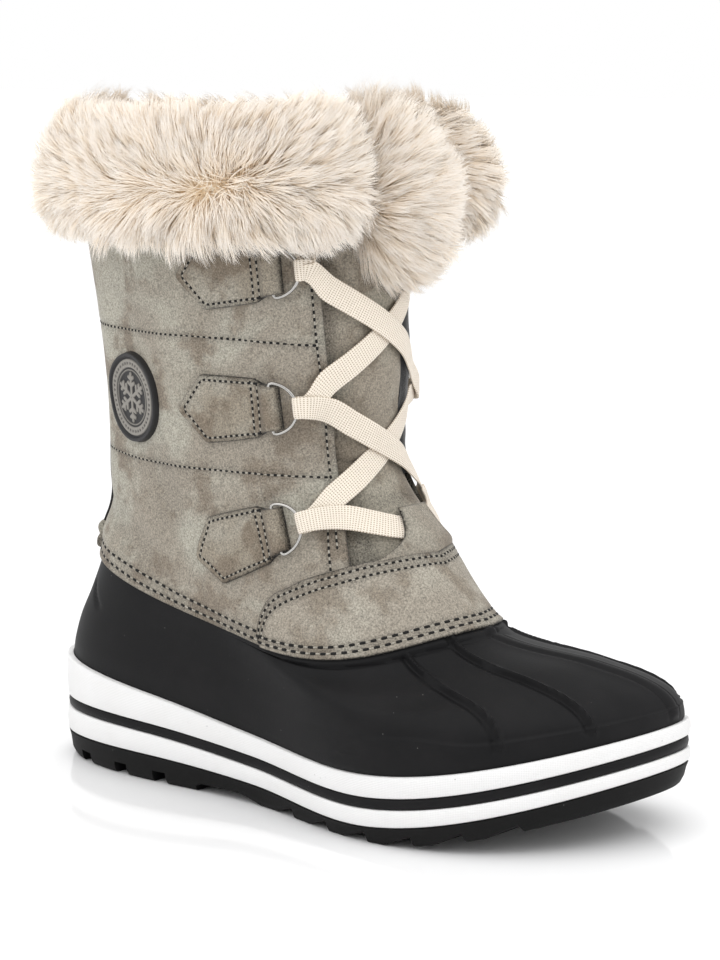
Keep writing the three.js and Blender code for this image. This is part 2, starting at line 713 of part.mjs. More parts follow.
// One cross-section of the cuff: it hangs outside the shaft, clear of tabs and rings, and rolls over
// the collar's edge into the boot.
function cuffSection(turn, grow) {
  const end = smoothEnd(turn);
  const out = normal(1, turn).setZ(0).normalize();
  const base = surface(1, turn);
  const reach = CUFF_REACH + CUFF_FLARE * smooth(0.55, 0.82, -turn);
  const at = (off, height) => base.clone().addScaledVector(out, off).setZ(base.z + height);
  const full = (off) => CUFF_CLEAR + (off - CUFF_CLEAR) * end;
  const tall = (height) => CUFF_MIDDLE + (height - CUFF_MIDDLE) * (0.45 + 0.55 * end);
  const hang = surface(CUFF_HANG, turn).z - base.z;
  const collar = (COLLAR - 1) * RISE_ABOVE_COLLAR + GAP + 0.2;
  return [
    at(CUFF_CLEAR - grow, tall(hang) - grow),
    at(CUFF_CLEAR - grow, collar - grow),
    at(-6 - grow, collar - grow),
    at(-9 - grow, 20),
    at(-7 - grow, tall(CUFF_TOP - 14) + grow),
    at(0, tall(CUFF_TOP) + grow),
    at(full(reach * 0.6) + grow, tall(CUFF_TOP - 4) + grow),
    at(full(reach * 0.95) + grow, tall(CUFF_TOP - 20) + grow),
    at(full(reach) + grow, CUFF_MIDDLE),
    at(full(reach * 0.9) + grow, tall(2)),
    at(full(reach * 0.7) + grow, tall(hang + 4) - grow),
    at(full(CUFF_CLEAR + 3) + grow, tall(hang) - grow),
  ];
}

const CUFF_END = 0.06; // turn over which a front end rounds off
const cuffTurn = (turn) => (turn > 0 ? CUFF_TURN.outer : CUFF_TURN.inner);

// 1 along the cuff, falling in a quarter circle to nearly nothing at its two front ends.
function smoothEnd(turn) {
  const part = clamp((Math.abs(turn) - (cuffTurn(turn) - CUFF_END)) / CUFF_END, 0, 1);
  return Math.sqrt(1 - 0.96 * part * part);
}

function makeCuff(grow) {
  const near = (side) => {
    const end = cuffTurn(side);
    return [end + grow * 0.012, end - 0.012, end - 0.03, end - CUFF_END].map((turn) => side * turn);
  };
  const turns = [...near(-1), ...range(-0.76, 0.76, 25), ...near(1).reverse()];
  return loft(turns.map((turn) => cuffSection(turn, grow)));
}

// Everything inside the boot's surface between two levels, let out by a clearance.
const plug = (levels, clearance) => loft(levels.map((level) => ringAt(level, clearance)));

function makeTongueFur() {
  const lump = withoutExtras(new THREE.SphereGeometry(1, 18, 12));
  lump.scale(...TONGUE_FUR.half).translate(...TONGUE_FUR.centre);
  return cut(lump, [plug([0.8, 0.87, 0.94, 1, COLLAR + 0.012], 5.5), makeCuff(0.4)]);
}

// ---- Assembly ----

const boot = new THREE.Group();

function add(name, geometry, finish) {
  const mesh = new THREE.Mesh(geometry, new THREE.MeshStandardMaterial(COLOURS[finish]));
  mesh.name = name;
  boot.add(mesh);
}

add("outsole", makeOutsole(), "blackRubber");
add("midsole", makeMidsole(), "whiteRubber");
add("midsole_stripe", makeStripe(), "blackRubber");
add("insole", makeInsole(), "fleece");
add("shell", makeShell(), "blackRubber");
add("shaft", makeShaft(), "leather");
add("vamp", makeVamp(), "leather");
add("tongue", makeTongue(), "leather");
add("lace_keeper", makeLaceKeeper(), "leather");
add("backstay", makeBackstay(), "blackRubber");
add("badge", makeBadge(), "blackRubber");
for (const [side, sign] of [["outer", 1], ["inner", -1]]) {
  for (const { name, level, turn, tilt } of TABS) {
    const frame = sideFrame(level, sign * turn, tilt);
    add(`tab_${side}_${name}`, makeTab(frame), "leather");
    add(`ring_${side}_${name}`, makeRing(frame), "steel");
  }
}
add("lace", makeLace(), "lace");
add("fur_cuff", makeCuff(0), "fur");
add("fur_tongue", makeTongueFur(), "fur");

const box = new THREE.Box3().setFromObject(boot);
boot.position.set(-(box.min.x + box.max.x) / 2, -(box.min.y + box.max.y) / 2, -box.min.z);
boot.updateMatrixWorld(true);

export default boot;
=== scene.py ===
# %% [markdown]
# # A snow boot, piece by piece
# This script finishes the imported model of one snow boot, for the right foot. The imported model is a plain
# frame: it fixes where each piece is and how big it is. Here each piece gets its fine surface: ribs in the
# rubber, creases and seams in the leather, a woven lace, and fur. Pieces are drawn in millimetres and
# turned into metres when their mesh is made, because a shoemaker's sizes read best in millimetres.

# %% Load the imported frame
import json
import math
from functools import lru_cache

import bpy
import numpy as np
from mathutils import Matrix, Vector, kdtree

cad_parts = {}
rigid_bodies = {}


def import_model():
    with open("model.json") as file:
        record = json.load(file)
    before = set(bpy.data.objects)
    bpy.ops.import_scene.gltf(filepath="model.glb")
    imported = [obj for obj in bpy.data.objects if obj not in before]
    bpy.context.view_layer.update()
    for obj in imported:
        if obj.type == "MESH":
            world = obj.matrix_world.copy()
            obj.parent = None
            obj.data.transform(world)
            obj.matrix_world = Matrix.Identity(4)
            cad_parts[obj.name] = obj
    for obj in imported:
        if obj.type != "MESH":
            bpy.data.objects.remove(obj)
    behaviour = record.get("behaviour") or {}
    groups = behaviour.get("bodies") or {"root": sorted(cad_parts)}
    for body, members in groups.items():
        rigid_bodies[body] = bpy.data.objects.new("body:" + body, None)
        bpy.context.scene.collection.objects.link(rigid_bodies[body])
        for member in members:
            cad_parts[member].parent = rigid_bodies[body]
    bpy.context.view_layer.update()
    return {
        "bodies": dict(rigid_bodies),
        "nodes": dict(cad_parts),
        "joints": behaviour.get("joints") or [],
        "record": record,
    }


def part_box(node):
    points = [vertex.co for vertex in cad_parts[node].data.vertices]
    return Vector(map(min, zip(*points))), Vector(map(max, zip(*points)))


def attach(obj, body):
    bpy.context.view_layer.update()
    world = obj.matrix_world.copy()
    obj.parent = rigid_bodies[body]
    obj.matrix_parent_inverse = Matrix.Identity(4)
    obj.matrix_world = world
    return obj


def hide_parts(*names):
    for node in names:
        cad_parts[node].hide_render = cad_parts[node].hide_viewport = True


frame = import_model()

MM = 0.001

# %% [markdown]
# ## Smooth curves
# Nearly every line on a shoe is a smooth curve through a few known places. One helper reads such a curve
# anywhere: it joins the places by cubic pieces whose slopes follow the neighbours. The heights may be
# whole arrays, so one call can read thousands of curves at once, which keeps the script fast.

# %% Curve helpers


def smooth(start, end, x):
    """0 before start, 1 after end, and an even S between them."""
    t = np.clip((np.asarray(x, float) - start) / (end - start), 0, 1)
    return t * t * (3 - 2 * t)


def mix(a, b, t):
    return a + (b - a) * t


def slopes(ys, steps):
    chords = np.diff(ys, axis=0) / steps
    found = np.empty(ys.shape)
    found[1:-1] = (chords[:-1] * steps[1:] + chords[1:] * steps[:-1]) / (steps[:-1] + steps[1:])
    found[0] = 1.5 * chords[0] - 0.5 * found[1]
    found[-1] = 1.5 * chords[-1] - 0.5 * found[-2]
    return found


def curve(xs, ys, x):
    """A smooth curve through (xs, ys), read at x. ys may carry further axes that match x."""
    xs, ys = np.asarray(xs, float), np.asarray(ys, float)
    x = np.clip(np.asarray(x, float), xs[0], xs[-1])
    if ys.ndim == 1:
        ys = ys.reshape(-1, *[1] * x.ndim)
    ys = np.broadcast_to(ys, (len(xs), *x.shape))
    m = slopes(ys, np.diff(xs).reshape(-1, *[1] * x.ndim))
    i = np.clip(np.searchsorted(xs, x, side="right") - 1, 0, len(xs) - 2)
    h = np.diff(xs)[i]
    t = (x - xs[i]) / h

    def pick(values, k):
        return np.take_along_axis(values, k[None], axis=0)[0]

    start = pick(ys, i) * (1 + 2 * t) + h * pick(m, i) * t
    end = pick(ys, i + 1) * (3 - 2 * t) + h * pick(m, i + 1) * (t - 1)
    return start * (1 - t) ** 2 + end * t * t


print("a curve through 0, 1, 0, read at a quarter:", float(curve([0, 0.5, 1], [0, 1, 0], 0.25)))

# %% [markdown]
# ## The last
# A shoe is made over a last, and every outer layer follows it. So the boot gets one surface with two
# coordinates: `level` climbs from the feather line, where the upper meets the sole (0), to the collar (1),
# and `turn` runs round from the back (0) to the front by the outer side (1) or by the inner side (-1).
# Each level is a section with its back and front, four half-widths and five heights. With this map a
# seam, a tab or a crease is placed by two numbers, and each layer is the same surface lifted a little.

# %% The boot's surface
SOLE_LENGTH = 282
SOLE_STATIONS = [0, 0.25, 0.45, 0.7, 1]
OUTSOLE_TOP = [10.5, 11.2, 8.5, 7, 27.4]
LOWER_BAND_TOP = [21, 20.2, 15.5, 14, 33]
UPPER_BAND_FOOT = [26, 24.7, 20.2, 18.6, 37.8]
FEATHER = [44.5, 36.6, 28.4, 27, 44.2]
WIDTH_STATIONS = np.array([0.14, 0.42, 0.7, 0.92])  # heel, waist, ball and toe, as parts of the length
SOLE_WIDTHS = np.array([36.5, 38, 53.6, 42])
CENTRE_X, CENTRE_Y = [0, 40, 118, 197, 282], [0, 0, -3.6, -4.6, 19]
HEEL_FULLNESS, TOE_FULLNESS = 1.22, 1.03
BAND_PROUD = 2.5
LEVELS = [0, 0.1, 0.2, 0.3, 0.4, 0.5, 0.62, 0.8, 1]
BACK = [2.5, 3.8, 7.6, 14.3, 22.5, 26.8, 27.6, 26.5, 18.7]
FRONT = [279.5, 278.6, 270.5, 252, 209, 179.6, 164, 163.2, 161.8]
WIDTHS = np.array([
    SOLE_WIDTHS - BAND_PROUD, [35, 38, 54, 38.5], [34.4, 38, 53.5, 34], [33.3, 38, 50.8, 29],
    [31.5, 37.5, 43.8, 27.5], [29.6, 37.4, 40.6, 27.7], [28.7, 38.6, 39.5, 27.4],
    [29.7, 41.5, 40.5, 28.6], [32.5, 45.5, 43.5, 30.5],
])
HEIGHTS = np.array([
    FEATHER, [49.8, 45, 42, 42.5, 51.5], [61, 55, 51.3, 50.5, 58.5], [74, 65, 59, 55.5, 66],
    [92, 79.8, 71.5, 66.5, 77], [108, 100, 96, 100, 114.2], [129, 126, 126, 129, 134.7],
    [169, 168, 169, 171, 174], [222, 221, 221, 222, 224],
])
HEIGHT_STATIONS = [0, 0.25, 0.5, 0.75, 1]
FEATHER_BLEND = 0.1
RISE_ABOVE_COLLAR = 100


def sole_line(heights):
    return lambda x: curve(SOLE_STATIONS, heights, np.asarray(x) / SOLE_LENGTH)


def half_width(widths, u):
    """widths holds four rows of half-widths; u is the place along the section, 0 to 1."""
    arc = np.sqrt(WIDTH_STATIONS * (1 - WIDTH_STATIONS))
    full = widths / arc.reshape(-1, *[1] * (np.ndim(widths) - 1))
    ends = np.concatenate([full[:1] * HEEL_FULLNESS, full, full[3:] * TOE_FULLNESS])
    return curve([0, *WIDTH_STATIONS, 1], ends, u) * np.sqrt(np.maximum(u * (1 - u), 0))


def surface(level, turn):
    """Points of the boot's surface, in millimetres."""
    level, turn = np.broadcast_arrays(np.asarray(level, float), np.asarray(turn, float))
    turn = (turn + 1) % 2 - 1
    at = np.minimum(level, 1)
    u = (1 - np.cos(np.pi * np.abs(turn))) / 2
    x = mix(curve(LEVELS, BACK, at), curve(LEVELS, FRONT, at), u)
    widths = np.stack([curve(LEVELS, column, at) for column in WIDTHS.T])
    side = np.where(turn >= 0, -1, 1)
    y = curve(CENTRE_X, CENTRE_Y, x) + side * half_width(widths, u)
    heights = np.stack([curve(LEVELS, column, at) for column in HEIGHTS.T])
    own = curve(HEIGHT_STATIONS, heights, u)
    z = mix(sole_line(FEATHER)(x), own, np.clip(level / FEATHER_BLEND, 0, 1))
    return np.stack([x, y, z + np.maximum(level - 1, 0) * RISE_ABOVE_COLLAR], -1)


def unit(vectors):
    return vectors / np.maximum(np.linalg.norm(vectors, axis=-1, keepdims=True), 1e-12)


SLOPE_STEP = 0.006


def normal(level, turn):
    level, turn = np.asarray(level, float), np.asarray(turn, float)
    up = surface(level + SLOPE_STEP, turn) - surface(np.maximum(level - SLOPE_STEP, 0), turn)
    along = surface(level, turn + SLOPE_STEP) - surface(level, turn - SLOPE_STEP)
    return unit(np.cross(along, up))


def lift(level, turn, by):
    """The surface moved out by some millimetres, which may differ from point to point."""
    return surface(level, turn) + normal(level, turn) * np.asarray(by, float)[..., None]


print("collar's front, mm:", surface(1, 1).round(1), "widest at the ball:", surface(0.1, 0.62).round(1))

# %% [markdown]
# ## Where the drawing sits in the frame
# The drawing starts at the back of the sole, and the frame has its origin under the middle of the boot.
# The midsole's plan is the same in both, so the two boxes give the shift, with nothing fitted by hand.

# %% From drawing to frame


def footprint(inset, height, turns):
    """The sole's plan drawn in by inset, at a height that follows x."""
    u = (1 - np.cos(np.pi * np.abs(turns))) / 2
    x = mix(inset, SOLE_LENGTH - inset, u)
    widths = np.repeat((SOLE_WIDTHS - inset)[:, None], len(u), axis=1)
    y = curve(CENTRE_X, CENTRE_Y, x) + np.where(turns >= 0, -1, 1) * half_width(widths, u)
    return np.stack([x, y, height(x)], -1)


FRAME_AROUND = 48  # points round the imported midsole
plan = footprint(0, sole_line(FEATHER), -1 + (2 * np.arange(FRAME_AROUND) + 1) / FRAME_AROUND)
midsole_box = np.array([list(corner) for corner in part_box("midsole")])
SHIFT = midsole_box.mean(axis=0) - (plan.min(axis=0) + plan.max(axis=0)) / 2 * MM
SHIFT[2] = 0
print("shift to the frame, mm:", (SHIFT / MM).round(2))

# %% [markdown]
# ## Making meshes from arrays
# Blender can fill a mesh straight from NumPy arrays, which suits surfaces worked out by formula: a grid of
# points and the four-sided faces between them. A face set that winds the wrong way would shade inside
# out, so closed pieces are turned by the sign of their volume. Each new piece also names the packed
# nodes that it stands for, which are hidden, and the body that it moves with, which is the whole boot.

# %% Mesh helpers


def crossed(rows, columns):
    """Two grids: the row values and the column values at every crossing."""
    return np.meshgrid(rows, columns, indexing="ij")


def grid_faces(rows, columns, wrap_rows=False, wrap_columns=False):
    i = np.arange(rows if wrap_rows else rows - 1)
    j = np.arange(columns if wrap_columns else columns - 1)
    i, j = crossed(i, j)
    low, high = i * columns, (i + 1) % rows * columns
    after = (j + 1) % columns
    return np.stack([low + j, low + after, high + after, high + j], -1).reshape(-1, 4)


def turned_out(points, faces):
    """The faces, wound so that a closed piece has a positive volume."""
    a, b, c = (points[faces[:, k]] for k in range(3))
    total = np.einsum("ij,ij->", a, np.cross(b, c))
    if faces.shape[1] == 4:
        total += np.einsum("ij,ij->", a, np.cross(c, points[faces[:, 3]]))
    return faces if total > 0 else faces[:, ::-1]


def new_mesh(name, points, *face_sets, marks=None):
    """A mesh from points in millimetres. marks are values kept on its points for the finish to read."""
    mesh = bpy.data.meshes.new(name)
    mesh.vertices.add(len(points))
    mesh.vertices.foreach_set("co", (points * MM + SHIFT).astype(np.float32).ravel())
    corners = np.concatenate([faces.ravel() for faces in face_sets])
    sizes = np.concatenate([np.full(len(faces), faces.shape[1]) for faces in face_sets])
    mesh.loops.add(len(corners))
    mesh.loops.foreach_set("vertex_index", corners.astype(np.int32))
    mesh.polygons.add(len(sizes))
    mesh.polygons.foreach_set("loop_start", (np.cumsum(sizes) - sizes).astype(np.int32))
    mesh.update(calc_edges=True)
    for mark, values in (marks or {}).items():
        kind, key = ("FLOAT", "value") if values.ndim == 1 else ("FLOAT_VECTOR", "vector")
        made = mesh.attributes.new(mark, kind, "POINT")
        made.data.foreach_set(key, values.astype(np.float32).ravel())
    return mesh


def add_piece(name, mesh, finish, slot, *nodes, sharp=None):
    piece = bpy.data.objects.new(name, mesh)
    bpy.context.collection.objects.link(piece)
    mesh.materials.append(finish)
    mesh.shade_smooth()
    if sharp is not None:
        mesh.set_sharp_from_angle(angle=math.radians(sharp))
    if nodes:
        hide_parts(*nodes)
    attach(piece, "root")
    triangles = sum(len(p.vertices) - 2 for p in mesh.polygons)
    print(f"{name}: {triangles} triangles")
    return piece


print("faces of a grid of 3 by 4 points:", len(grid_faces(3, 4)))

# %% Sheets, bands and lofts


def slab_faces(rows, columns):
    """A closed piece from two grids of the same size, one over the other, joined round their edge."""
    over = grid_faces(rows, columns)
    index = np.arange(rows * columns).reshape(rows, columns)
    rim = np.concatenate([index[0], index[1:, -1], index[-1, -2::-1], index[-2:0:-1, 0]])
    ahead = np.roll(rim, -1)
    total = rows * columns
    edge = np.stack([ahead, rim, rim + total, ahead + total], -1)
    return np.concatenate([over, over[:, ::-1] + total, edge])


def slab(name, over, under, finish, slot, *nodes, marks=None, sharp=50):
    """A closed sheet of material between two grids of points."""
    rows, columns = over.shape[:2]
    points = np.concatenate([over.reshape(-1, 3), under.reshape(-1, 3)])
    faces = turned_out(points, slab_faces(rows, columns))
    doubled = {mark: np.concatenate([v, v]) for mark, v in (marks or {}).items()}
    return add_piece(name, new_mesh(name, points, faces, marks=doubled), finish, slot, *nodes, sharp=sharp)


def burnished_and_shaded(name, over, under, finish, slot, *nodes, burnish_and_shade):
    """A sheet of leather that carries how much each of its points is darkened, by its wax and by painted
    shade.
    """
    return slab(name, over, under, finish, slot, *nodes, marks={"burnish_and_shade": burnish_and_shade.ravel()})


def loop_mesh(name, rings, marks=None):
    """A closed band: rings of points, the last joined back to the first."""
    rings = np.asarray(rings)
    points = rings.reshape(-1, 3)
    faces = grid_faces(len(rings), rings.shape[1], wrap_rows=True, wrap_columns=True)
    return new_mesh(name, points, turned_out(points, faces), marks=marks)


def across_faces(start, count, flip):
    """An end face: point k of the outline is joined across to point count - 1 - k."""
    k = np.arange(count // 2 - 1)
    faces = np.stack([k, k + 1, count - 2 - k, count - 1 - k], -1) + start
    return faces[:, ::-1] if flip else faces


def loft_mesh(name, rings, marks=None):
    """A closed solid through rings of points, with a face at each end."""
    rings = np.asarray(rings)
    points, count = rings.reshape(-1, 3), rings.shape[1]
    faces = np.concatenate([
        grid_faces(len(rings), count, wrap_columns=True),
        across_faces(0, count, flip=True),
        across_faces((len(rings) - 1) * count, count, flip=False),
    ])
    return new_mesh(name, points, turned_out(points, faces), marks=marks)


print("faces of a sheet of 3 by 4 points, closed:", len(slab_faces(3, 4)))

# %% [markdown]
# ## Finishes as expressions
# A finish is a small node tree: patterns, sums of patterns, and one shader. Wiring Math nodes by hand hides
# the formula, so a socket is wrapped in a class with the usual operators, and `1 - mask` simply adds the
# node that it needs. Every other node comes from one method, which takes its type, its settings and its
# inputs. Colours always go through Mix nodes, because a Math node would turn them grey.

# %% The finish maker


class Wire:
    """A node's output, with arithmetic that adds Math nodes."""

    def __init__(self, finish, socket):
        self.finish, self.socket = finish, socket

    def maths(self, operation, *inputs):
        return self.finish.node("ShaderNodeMath", {"operation": operation}, dict(enumerate(inputs)))

    def __add__(self, other):
        return self.maths("ADD", self, other)

    __radd__ = __add__

    def __sub__(self, other):
        return self.maths("SUBTRACT", self, other)

    def __rsub__(self, other):
        return self.maths("SUBTRACT", other, self)

    def __mul__(self, other):
        return self.maths("MULTIPLY", self, other)

    __rmul__ = __mul__

    def between(self, low, high):
        """0 below low and 1 above high, with a soft step between."""
        settings = {"interpolation_type": "SMOOTHSTEP"}
        return self.finish.node("ShaderNodeMapRange", settings, {0: self, 1: low, 2: high, 3: 0.0, 4: 1.0})

    def sine(self):
        return self.maths("SINE", self)


# %% Colours, and the finish itself


def shade(code):
    """A colour given as on a paint card, #rrggbb, in the linear numbers that Blender uses."""
    parts = [int(code[i:i + 2], 16) / 255 for i in (1, 3, 5)]
    linear = [p / 12.92 if p <= 0.04045 else ((p + 0.055) / 1.055) ** 2.4 for p in parts]
    return (*linear, 1.0)


class Finish:
    """A material with one Principled shader."""

    def __init__(self, name, roughness=0.5, **fixed):
        self.material = bpy.data.materials.new(name)
        self.material.use_nodes = True
        self.tree = self.material.node_tree
        self.shader = self.tree.nodes["Principled BSDF"]
        self.shader.inputs["Roughness"].default_value = roughness
        for socket, value in fixed.items():
            self.shader.inputs[socket.replace("_", " ")].default_value = value
        self.place = self.node("ShaderNodeTexCoord", {}, {}, output="Object")

    def node(self, kind, settings, inputs, output=0):
        made = self.tree.nodes.new(kind)
        for key, value in settings.items():
            setattr(made, key, value)
        for key, value in inputs.items():
            if isinstance(value, Wire):
                self.tree.links.new(value.socket, made.inputs[key])
            else:
                made.inputs[key].default_value = value
        return Wire(self, made.outputs[output])

    def feed(self, **inputs):
        """Links values to the shader; an underscore in a name stands for a space."""
        for key, value in inputs.items():
            self.tree.links.new(value.socket, self.shader.inputs[key.replace("_", " ")])

    def mark(self, name, output="Fac"):
        return self.node("ShaderNodeAttribute", {"attribute_name": name}, {}, output=output)

    def noise(self, size, detail=2.0, roughness=0.5, place=None, distortion=0.0):
        """Clouds from 0 to 1 whose features are about size metres across."""
        inputs = {"Vector": place or self.place, "Scale": 1 / size, "Detail": detail,
                  "Roughness": roughness, "Distortion": distortion}
        return self.node("ShaderNodeTexNoise", {}, inputs)

    def cells(self, size, place=None, feature="F1"):
        inputs = {"Vector": place or self.place, "Scale": 1 / size}
        return self.node("ShaderNodeTexVoronoi", {"feature": feature}, inputs, output="Distance")

    def colours(self, part, first, second):
        inputs = {"Factor": part, 6: first, 7: second}
        return self.node("ShaderNodeMix", {"data_type": "RGBA"}, inputs, output=2)

    def darker(self, colour, amount):
        """A colour times a grey value."""
        grey = self.node("ShaderNodeCombineColor", {}, {0: amount, 1: amount, 2: amount})
        settings = {"data_type": "RGBA", "blend_type": "MULTIPLY"}
        return self.node("ShaderNodeMix", settings, {0: 1.0, 6: colour, 7: grey}, output=2)

    def bump(self, height, depth, strength=1.0):
        """A normal from a height pattern of 0 to 1 that stands for depth metres."""
        inputs = {"Height": height, "Distance": depth, "Strength": strength}
        return self.node("ShaderNodeBump", {}, inputs, output="Normal")


print("a paint card's #808080 in linear numbers:", [round(value, 3) for value in shade("#808080")])

# %% [markdown]
# ## Leather with a brushed face
# The shaft is a brushed, waxed leather: taupe, with cloudy lighter and browner patches, a very fine grain,
# and darker cut edges and seams. Two cloud patterns of different size give the patches, a fine one gives the
# grain, and a value kept on the points says where it darkens: the waxed edges and seams, and painted shade
# in the troughs of folds, in creases, where one layer tucks under another, and as a shadow line along cut
# edges.

# %% Leather finishes


def leather(name, ground, pale, brown, offset, grain_depth=0.00012):
    made = Finish(name, roughness=0.75, Specular_IOR_Level=0.35, Sheen_Weight=0.12, Sheen_Roughness=0.4)
    place = made.node("ShaderNodeVectorMath", {"operation": "ADD"}, {0: made.place, 1: offset})
    clouds = made.noise(0.055, 3.0, 0.55, place, distortion=0.6)
    patches = made.noise(0.022, 4.0, 0.6, place)
    grain = made.noise(0.0007, 2.0, 0.7, place)
    fibres = made.noise(0.0026, 3.0, 0.7, place)
    colour = made.colours(clouds.between(0.47, 0.62), ground, pale)
    colour = made.colours(patches.between(0.50, 0.63) * 0.9, colour, brown)
    # The value on the points darkens the leather: waxed edges and seams, and painted shade in fold troughs,
    # in creases, where layers tuck under, and as a shadow line along cut edges.
    tone = 0.87 - 0.8 * made.mark("burnish_and_shade") + 1.9 * (grain - 0.5) + 0.35 * (fibres - 0.5)
    colour = made.darker(colour, tone)
    made.feed(Base_Color=colour, Roughness=0.66 + 0.22 * patches,
              Normal=made.bump(0.7 * grain + 0.3 * fibres, grain_depth, 0.8))
    return made.material


taupe, grey_green, brown = shade("#9a9285"), shade("#aca89b"), shade("#857a6c")
shaft_leather = leather("shaft leather", taupe, grey_green, brown, (0.0, 0.0, 0.0))
vamp_leather = leather("vamp leather", shade("#a0988b"), shade("#aca699"), shade("#8d8375"), (0.3, 0.1, 0.2))
tongue_leather = leather("tongue leather", shade("#968d7f"), shade("#a09a8c"), shade("#7f7567"),
                         (0.7, 0.2, 0.5))
keeper_leather = leather("lace keeper leather", shade("#989083"), shade("#a49e91"), brown, (0.1, 0.6, 0.4))
tab_leather = leather("tab leather", shade("#958c7d"), shade("#a39d90"), shade("#7f7364"), (0.5, 0.9, 0.3))
leathers = (shaft_leather, vamp_leather, tongue_leather, keeper_leather, tab_leather)
print("leathers:", [material.name for material in leathers])

# %% [markdown]
# ## Rubbers
# The shell is dull black rubber with a faint skin texture and a few specks of dust. The sole's bands are
# white, with a very fine diamond grip texture and some dirt. That texture has to follow the band round the
# boot, so it reads `lay`, the distance along the band and its height, kept on the points.

# %% Rubber finishes


def rubber(name, colour, worn, roughness, skin=0.00006, specks=0.05):
    made = Finish(name, roughness=roughness, Specular_IOR_Level=0.11)
    skin_pattern = made.noise(0.0007, 2.0, 0.6)
    haze = made.noise(0.03, 3.0, 0.6)
    dust = (made.cells(0.0045) * -1.0 + specks).between(0.0, 0.02) * made.noise(0.02).between(0.5, 0.6)
    tinted = made.colours(haze.between(0.35, 0.75) * 0.5, colour, worn)
    made.feed(Base_Color=made.colours(dust * 0.6, tinted, shade("#8a8885")),
              Roughness=(roughness - 0.07) + 0.16 * haze,
              Normal=made.bump(skin_pattern, skin, 0.9))
    return made.material


DIAMOND_PITCH = 0.0013


def band_rubber():
    made = Finish("white band rubber", roughness=0.55, Specular_IOR_Level=0.4)
    lay = made.node("ShaderNodeSeparateXYZ", {}, {0: made.mark("lay", "Vector")})
    along, up = lay, Wire(made, lay.socket.node.outputs[1])
    turns = 2 * math.pi / DIAMOND_PITCH
    diamonds = ((along + up) * turns).sine() * ((along - up) * turns).sine()
    dirt = made.noise(0.0014, 2.0, 0.7).between(0.69, 0.74) * made.noise(0.03).between(0.5, 0.66)
    clean = made.colours(made.noise(0.02, 3.0), shade("#eeeeee"), shade("#e6e5e4"))
    # Painted shade: the band is darker in the hollows of the diamond texture.
    hollow_shade = made.colours(diamonds.between(0.3, -0.9) * 0.22, clean, shade("#b9b8b6"))
    made.feed(Base_Color=made.colours(dirt * 0.55, hollow_shade, shade("#55514c")),
              Normal=made.bump(diamonds * 0.5 + 0.5, 0.00012, 0.7))
    return made.material


shell_rubber = rubber("shell rubber", shade("#171718"), shade("#232223"), 0.52)
sole_rubber = rubber("outsole rubber", shade("#151515"), shade("#1f1e1e"), 0.6, skin=0.0001)
stripe_rubber = rubber("stripe rubber", shade("#161617"), shade("#222122"), 0.45)
white_rubber = band_rubber()
print("rubbers:", [m.name for m in (shell_rubber, sole_rubber, stripe_rubber, white_rubber)])

# %% [markdown]
# ## Fur, fleece, thread, lace and wire
# Fur is thousands of tapered hairs. Each hair knows its place from root to tip, `along`, and the tint of its
# tuft, so roots go tan and tips stay cream. Fleece and the fur's backing are woolly noise. The lace is a
# flat plait: two slanting waves multiplied together give its small diamonds, running along the band.

# %% Textile and metal finishes


def fur_hair(name, root, middle, tip):
    made = Finish(name, roughness=0.62, Sheen_Weight=0.4, Sheen_Roughness=0.5, Specular_IOR_Level=0.3)
    along, tint = made.mark("along"), made.mark("tint")
    body = made.colours(along.between(0.0, 0.55), root, middle)
    body = made.colours(along.between(0.45, 1.0), body, tip)
    made.feed(Base_Color=made.darker(body, 0.85 + 0.12 * tint), Roughness=0.58 + 0.15 * tint)
    return made.material


def wool(name, ground, shadow, size, depth):
    made = Finish(name, roughness=0.95, Sheen_Weight=0.3, Specular_IOR_Level=0.15)
    curls = made.noise(size, 3.0, 0.65, distortion=1.2)
    made.feed(Base_Color=made.colours(curls.between(0.3, 0.62), shadow, ground),
              Normal=made.bump(curls, depth, 1.0))
    return made.material


PLAIT_PITCH = 0.0023


def webbing():
    made = Finish("lace webbing", roughness=0.85, Specular_IOR_Level=0.25, Sheen_Weight=0.2)
    lay = made.node("ShaderNodeSeparateXYZ", {}, {0: made.mark("lay", "Vector")})
    along, across = lay, Wire(made, lay.socket.node.outputs[1])
    turns = 2 * math.pi / PLAIT_PITCH
    plait = ((along + across * 1.3) * turns).sine() * ((along - across * 1.3) * turns).sine()
    yarns = made.noise(0.0003, 1.0)
    height = plait * 0.5 + 0.5
    # Painted shade: the plait is darker in its low parts, as shade in the weave's hollows.
    colour = made.colours(height.between(0.0, 0.5), shade("#a9967d"), shade("#f3e9db"))
    made.feed(Base_Color=made.darker(colour, 0.92 + 0.14 * yarns),
              Normal=made.bump(0.85 * height + 0.15 * yarns, 0.00028, 1.0))
    return made.material


def thread(name, colour, dark):
    made = Finish(name, roughness=0.7, Specular_IOR_Level=0.3)
    made.feed(Base_Color=made.colours(made.noise(0.0006, 1.0).between(0.35, 0.65), dark, colour),
              Normal=made.bump(made.noise(0.00035, 1.0), 0.0001, 1.0))
    return made.material


def steel_wire():
    made = Finish("ring wire", roughness=0.22, Metallic=1.0)
    drawn = made.noise(0.0008, 2.0)
    made.feed(Base_Color=made.colours(drawn, shade("#9d9b98"), shade("#bcbab6")),
              Roughness=0.16 + 0.14 * drawn)
    return made.material


hair = fur_hair("fur hair", shade("#e6c9a0"), shade("#fdeeda"), shade("#fff9f1"))
backing = wool("fur backing", shade("#fbeed8"), shade("#ecd6b4"), 0.003, 0.0012)
fleece = wool("fleece lining", shade("#e3d8c5"), shade("#bda98b"), 0.0025, 0.001)
black_lining = wool("black lining", shade("#1f1e1f"), shade("#121212"), 0.0009, 0.0002)
lace_webbing = webbing()
pale_thread = thread("seam thread", shade("#aca79c"), shade("#8b8579"))
